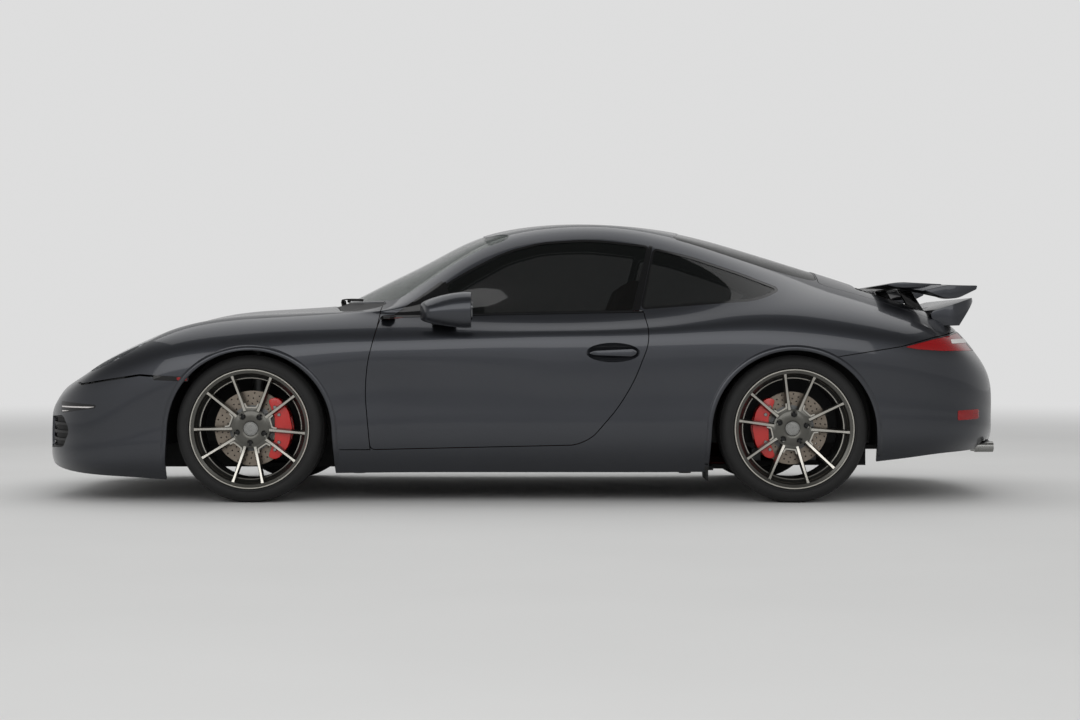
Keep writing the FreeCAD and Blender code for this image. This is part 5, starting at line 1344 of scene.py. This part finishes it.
# Dash: a leather top over a black face, binnacle, dials, vents and screen
DASH_TOP = [(756, 700, 20), (756, 826, 40), (600, 858, 80), (434, 797, 50), (424, 770, 20),
            (560, 740, 60)]
DASH_FACE = [(752, 566, 20), (752, 780, 20), (450, 772, 30), (414, 722, 50), (524, 566, 50)]
dash_top = solid("dash_top", prism(DASH_TOP, "XZ", -650, 650), RED_LEATHER, 10.0, 3)
dash_face = solid("dash_face", prism(DASH_FACE, "XZ", -646, 646), BLACK_LEATHER, 10.0, 3)
binnacle = as_object("binnacle", prism([(190, 738, 20), (540, 738, 20), (530, 838, 60),
                                        (365, 876, 200), (200, 838, 60)], "YZ", 418, 600))
cut(binnacle, [prism([(204, 752, 16), (526, 752, 16), (516, 826, 50), (365, 860, 180),
                      (214, 826, 50)], "YZ", 400, 440)], "DIFFERENCE")
dash = [dash_top, dash_face, painted(edge_bevel(binnacle, 4.0), BLACK_LEATHER)]
# Columns: sideways place, height, radius
DIALS = [(365, 800, 50), (283, 796, 37), (447, 796, 37), (230, 786, 25), (500, 786, 25)]
for y, z, radius in DIALS:
    ring = lathe("dial_ring", [(radius - 3, 0), (radius, 0), (radius, 5), (radius - 2, 6),
                               (radius - 4, 4)], (441, y, z), (-1, 0, 0), 48)
    face = lathe("dial_face", [(0.01, 1.5), (radius - 2, 1.5), (radius - 2, 0), (0.01, 0)],
                 (441, y, z), (-1, 0, 0), 48)
    needle = solid("needle", block(437, 438, y - 1.2, y + 1.2, z - 6, z + radius * 0.72),
                   LENS_WHITE)
    dash += [painted(ring, STEEL), painted(face, GLOSS_BLACK), needle]
    for k in range(10):
        bm = block(-0.5, 0.5, -0.8, 0.8, radius * 0.8 - 3, radius * 0.8 + 3)
        bm.transform(Matrix.Translation(Vector((437.5, y, z)) * MM) @ turn_matrix(135 - 30 * k, "X"))
        dash.append(solid("tick", bm, LENS_WHITE))
dash.append(solid("screen", block(402, 434, -92, 92, 700, 790), GLOSS_BLACK, 4.0))
for y in (-560, -130, 130, 600):
    dash.append(solid("vent", block(412, 450, y - 45, y + 20, 752, 786), TRIM, 5.0))
    for k in range(4):
        low = 756 + 7.5 * k
        dash.append(solid("fin", block(408, 424, y - 41, y + 16, low, low + 2.5), STEEL))
dress(joined("dash", dash), "body", None, ["dashboard"])

# Centre console with an armrest, a gear lever and a tray
CONSOLE = [(470, 700, 20), (520, 640, 20), (560, 302, 0), (-430, 302, 0), (-430, 392, 40),
           (-170, 400, 50), (-120, 352, 60), (220, 372, 80), (398, 560, 100), (410, 700, 20)]
console = solid("console", prism(CONSOLE, "XZ", -96, 96), RED_LEATHER, 12.0, 3)
lever = lathe("lever", [(0.01, 0), (34, 0), (26, 20), (14, 52), (9, 70), (9, 92), (19, 100),
                        (24, 118), (21, 136), (10, 146), (0.01, 147)], (95, 0, 362),
              (-0.12, 0, 1), 40)
tray = solid("console_tray", block(-90, 190, -52, 52, 352, 366), GLOSS_BLACK, 4.0)
tray.data.transform(turn_matrix(-3, "Y"))
dress(joined("console", [console, painted(lever, BLACK_LEATHER), tray]), "body", None)

# Steering wheel: leather rim, three spokes and a padded boss
GRIP_R, GRIP_THICK = 182, 15
COLUMN_PLACE, COLUMN_TILT = (235, 365, 770), 24
tilt_back = Matrix.Translation(Vector(COLUMN_PLACE) * MM) @ turn_matrix(COLUMN_TILT, "Y")
bm = bmesh.new()
ring = bmesh.ops.create_circle(bm, segments=20, radius=GRIP_THICK * MM)["verts"]
bmesh.ops.rotate(bm, matrix=Matrix.Rotation(math.radians(90), 3, "Y"), verts=ring)
bmesh.ops.rotate(bm, matrix=Matrix.Rotation(math.radians(90), 3, "Z"), verts=ring)
bmesh.ops.translate(bm, vec=(0, 0, GRIP_R * MM), verts=ring)
bmesh.ops.spin(bm, geom=list(bm.verts) + list(bm.edges), cent=(0, 0, 0), axis=(1, 0, 0),
               angle=2 * math.pi, steps=96, use_merge=True)
bmesh.ops.remove_doubles(bm, verts=bm.verts, dist=1e-6)
bmesh.ops.recalc_face_normals(bm, faces=bm.faces)
bm.transform(tilt_back)
wheel_parts = [painted(as_object("grip", bm, 60), BLACK_LEATHER)]
for angle in (-8, 188, 270):
    bm = prism([(-24, 40, 6), (24, 40, 6), (15, GRIP_R - 12, 4), (-15, GRIP_R - 12, 4)], "YZ",
               2, 12)
    bm.transform(tilt_back @ turn_matrix(90 - angle, "X"))
    wheel_parts.append(solid("wheel_spoke", bm, STEEL, 2.5))
boss = pillow("boss", (-14, -74, -62), (44, 74, 66))
boss.data.transform(tilt_back)
wheel_parts.append(painted(boss, BLACK_LEATHER))
dress(joined("steering_wheel_leather", wheel_parts), "steering_wheel", None,
      ["steering_wheel"])

# Door cards, their frames, top rolls and pulls
door_box = ((-640, 0, 200), (760, 1100, 900))
frame_wall = painted(panel("door_frame", *door_box, [
    side_cut(DOOR, -4), block(-640, 760, 702, 1100, 200, 900)], [side_cut(DOOR, -14)],
    inset=11.0, thick=120.0), TRIM)
card = solid("card", prism(DOOR, "XZ", 702, 716, -9), RED_LEATHER, 4.0)
TOP_ROLL = [(BELT_FRONT_X - 20, belt(600) - 9, 8), (BELT_REAR_X + 16, belt(-540) - 9, 8),
            (BELT_REAR_X + 2, belt(-540) - 66, 20), (BELT_FRONT_X - 12, belt(600) - 66, 20)]
roll = edge_bevel(painted(panel("top_roll", *door_box, [side_cut(TOP_ROLL)], inset=20.0,
                                thick=62.0), RED_LEATHER), 9.0, 3)
POCKET = [(560, 300, 40), (560, 400, 60), (-200, 430, 60), (-140, 300, 60)]
pocket = solid("pocket", prism(POCKET, "XZ", 668, 704), RED_LEATHER, 10.0, 3)
REST = [(300, 560, 20), (300, 598, 20), (-330, 620, 20), (-330, 582, 20)]
rest = solid("rest", prism(REST, "XZ", 640, 706), RED_LEATHER, 12.0, 3)
pull = solid("pull", prism([
    (420, 690, 10), (420, 706, 10), (300, 706, 10), (300, 690, 10)], "XZ", 690, 704), STEEL, 3.0)
both(joined("door_card", [frame_wall, card, roll, pocket, rest, pull]), "door_card", None,
     "door_%s")

# Lining of the roof and pillars, carpets, sill covers, rear shelf and load tub
cabin_box = ((-1500, -800, 885), (560, 800, 1400))
side_holes = [side_cut(DOOR_GLASS, 14), side_cut(QUARTER_GLASS, 6),
              flipped(side_cut(DOOR_GLASS, 14)), flipped(side_cut(QUARTER_GLASS, 6))]
lining = panel("cabin_lining", *cabin_box, [], [top_cut(WINDSCREEN, 8, 600),
                                                top_cut(REAR_GLASS, 8, 800), *side_holes],
               inset=15.0, thick=4.0)
dress(lining, "body", HEADLINER)
FOOT_MAT = [(-330, 118, 20), (735, 118, 60), (735, 636, 60), (-330, 636, 20)]
REAR_MAT = [(-970, 118, 20), (-345, 118, 20), (-345, 560, 20), (-970, 560, 20)]
carpets = [solid("mat", bm, CARPET, 2.0) for bm in (
    prism(FOOT_MAT, "XY", 155, 162), prism(REAR_MAT, "XY", 155, 162),
    block(752, 759, 112, 650, 160, 560), block(-960, 740, 111, 116, 160, 300))]
both(joined("carpet", carpets), "carpet", None)
sill = solid("sill_cover", prism([(-430, 158, 20), (660, 158, 20), (660, 228, 20),
                                  (-430, 228, 20)], "XZ", 668, 790), TRIM, 8.0, 3)
both(sill, "sill_cover", None)
shelf = [solid("bulkhead_carpet", block(-984, -979, -560, 560, 160, 800), CARPET),
         solid("shelf_board", block(-1376, -982, -478, 478, 800.5, 808), CARPET, 3.0)]
dress(joined("rear_shelf", shelf), "body", None)
LOAD_TUB = [(798, -418, 30), (1985, -370, 60), (1985, 370, 60), (798, 418, 30)]
tub = as_object("load_tub", prism(LOAD_TUB, "XY", 156, 520))
cut(tub, [prism(LOAD_TUB, "XY", 161, 560, -5)], "DIFFERENCE")
dress(edge_bevel(tub, 1.5), "body", HEADLINER)

# Wipers: arm and blade lying at the foot of the windscreen


def bar_along(name, points, wide, high, material):
    """A flat bar swept along points in mm, standing on the skin."""
    bm = bmesh.new()
    bmesh.ops.create_grid(bm, x_segments=len(points) - 1, y_segments=1, size=0.5)
    for vert in bm.verts:
        k = round((vert.co.x + 0.5) * (len(points) - 1))
        x, y, lift = points[k]
        back, onward = points[max(k - 1, 0)], points[min(k + 1, len(points) - 1)]
        way = Vector((onward[0] - back[0], onward[1] - back[1], 0)).normalized()
        side_way = Vector((-way.y, way.x, 0)) * vert.co.y * wide
        vert.co = (on_top(x, y, lift) + side_way) * MM
    piece = walled(as_object(name, facing(bm, 2), 60), high)
    return edge_bevel(painted(piece, material), 1.2)


wipers = []
for pivot_y, tip_y in ((-60, 430), (-560, -70)):
    run = [pivot_y + (tip_y - pivot_y) * k / 14 for k in range(15)]
    blade_line = [(862 - 0.00052 * y * y - 14 * (k / 14), y, 15) for k, y in enumerate(run)]
    arm_line = [(895 - 0.00052 * y * y - 44 * (k / 14), y, 24 - 4 * abs(k - 5) / 5)
                for k, y in enumerate(run[:10])]
    wipers.append(bar_along("wiper_blade", blade_line, 9, 12, RUBBER))
    wipers.append(bar_along("wiper_arm", arm_line, 14, 5, TRIM))
    x, y, _ = arm_line[0]
    wipers.append(painted(lathe("wiper_pivot", [(0.01, -14), (13, -14), (13, 6), (9, 10),
                                                (0.01, 10)], on_top(x, y, 16), (0.2, 0, 1), 32),
                          TRIM))
dress(joined("wipers", wipers), "body", None)

# Flap before each rear wheel
flap = solid("wheel_flap", prism([(-842, 205, 10), (-842, 96, 6), (-834, 96, 6),
                                  (-820, 205, 10)], "XZ", 640, 838), RUBBER, 1.5)
both(flap, "wheel_flap", None)

# CAD nodes that keep their shape get their own finishes
KEPT = {"floor_pan": UNDERBODY, "arch_liners": TRIM, "engine_block": CAST, "exhaust": STEEL,
        "front_suspension": CAST, "rear_suspension": CAST, "engine_grille": TRIM,
        "front_knuckle_left": CAST, "front_knuckle_right": CAST}
for name, material in KEPT.items():
    for slot in NODES[name].material_slots:
        slot.material = material

# Studio: pale floor, plain world, soft lamps and the camera
bm = bmesh.new()
bmesh.ops.create_circle(bm, cap_ends=True, segments=96, radius=60)
floor = as_object("studio_floor", bm)
# Painted screed, matt and even
screed = finish("pale_matt_floor", "d0d0cf", "d6d6d5", 0.85, 0.05, 900, 20)
floor.data.materials.append(screed)
# Far out it runs into the backdrop's own tone, as a curved studio wall does
tree = screed.node_tree
end = next(node for node in tree.nodes if node.type == "OUTPUT_MATERIAL")
matt = end.inputs["Surface"].links[0].from_socket
reach = add(tree, "VectorMath", {0: add(tree, "TexCoord").outputs["Object"]}, operation="LENGTH")
far = add(tree, "MapRange", {"Value": reach.outputs["Value"], "From Min": 4.0, "From Max": 14.0},
          interpolation_type="SMOOTHSTEP")
level = add(tree, "Mix", {"Factor": add(tree, "LightPath").outputs["Is Camera Ray"],
                          "A": 0.4, "B": 0.82}, data_type="FLOAT")
tone = add(tree, "Emission", {"Color": linear("f2f2f2"), "Strength": level.outputs["Result"]})
run_out = add(tree, "MixShader", {0: far.outputs["Result"], 1: matt, 2: tone.outputs[0]})
tree.links.new(run_out.outputs[0], end.inputs["Surface"])

# A pale dome: the camera and panes see it plain, polished surfaces see it dim overhead
world = bpy.data.worlds.new("studio")
bpy.context.scene.world = world
world.use_nodes = True
tree = world.node_tree
tree.nodes.clear()
path = add(tree, "LightPath")
seen = add(tree, "Math", {0: path.outputs["Is Camera Ray"], 1: path.outputs["Is Transmission Ray"]},
           operation="MAXIMUM")
direction = add(tree, "SeparateXYZ", {"Vector": add(tree, "TexCoord").outputs["Generated"]})
dim = add(tree, "MapRange", {"Value": direction.outputs["Z"], "From Min": 0.25, "From Max": 0.75,
                             "To Min": 0.6, "To Max": 0.16}, interpolation_type="SMOOTHSTEP")
level = add(tree, "Mix", {"Factor": path.outputs["Is Glossy Ray"], "A": 0.64,
                          "B": dim.outputs["Result"]}, data_type="FLOAT")
level = add(tree, "Mix", {"Factor": seen.outputs[0], "A": level.outputs["Result"], "B": 0.82},
            data_type="FLOAT")
backdrop = add(tree, "Background", {"Color": linear("f2f2f2"),
                                    "Strength": level.outputs["Result"]})
add(tree, "OutputWorld", {"Surface": backdrop.outputs[0]})


def lamp(name, place, aim, size, power):
    """A soft rectangular lamp at a place, turned towards an aim, in metres and watts."""
    data = bpy.data.lights.new(name, "AREA")
    data.shape = "RECTANGLE"
    data.size, data.size_y = size
    data.energy = power
    made = placed(name, data)
    made.location = place
    made.rotation_mode = "QUATERNION"
    made.rotation_quaternion = (Vector(aim) - Vector(place)).to_track_quat("-Z", "Y")


lamp("overhead_softbox", (0, -1.6, 5.0), (0, 0, 0.4), (9.0, 5.0), 150)
lamp("side_softbox", (1.2, 8.5, 4.2), (0.2, 0, 0.5), (12.0, 4.2), 240)

CAMERA_X, CAMERA_DISTANCE, CAMERA_HEIGHT = -0.082, 9.4, 0.73
FOCAL_PIXELS, IMAGE_WIDTH, HORIZON_ABOVE = 1895, 1080, 19.5
camera_data = bpy.data.cameras.new("camera")
camera_data.sensor_width = 36
camera_data.lens = FOCAL_PIXELS / IMAGE_WIDTH * 36
camera_data.shift_y = -HORIZON_ABOVE / IMAGE_WIDTH
camera = placed("camera", camera_data)
camera.location = (CAMERA_X, CAMERA_DISTANCE, CAMERA_HEIGHT)
camera.rotation_euler = (math.radians(90), 0, math.radians(180))
bpy.context.scene.camera = camera
bpy.context.scene.view_settings.view_transform = "Standard"
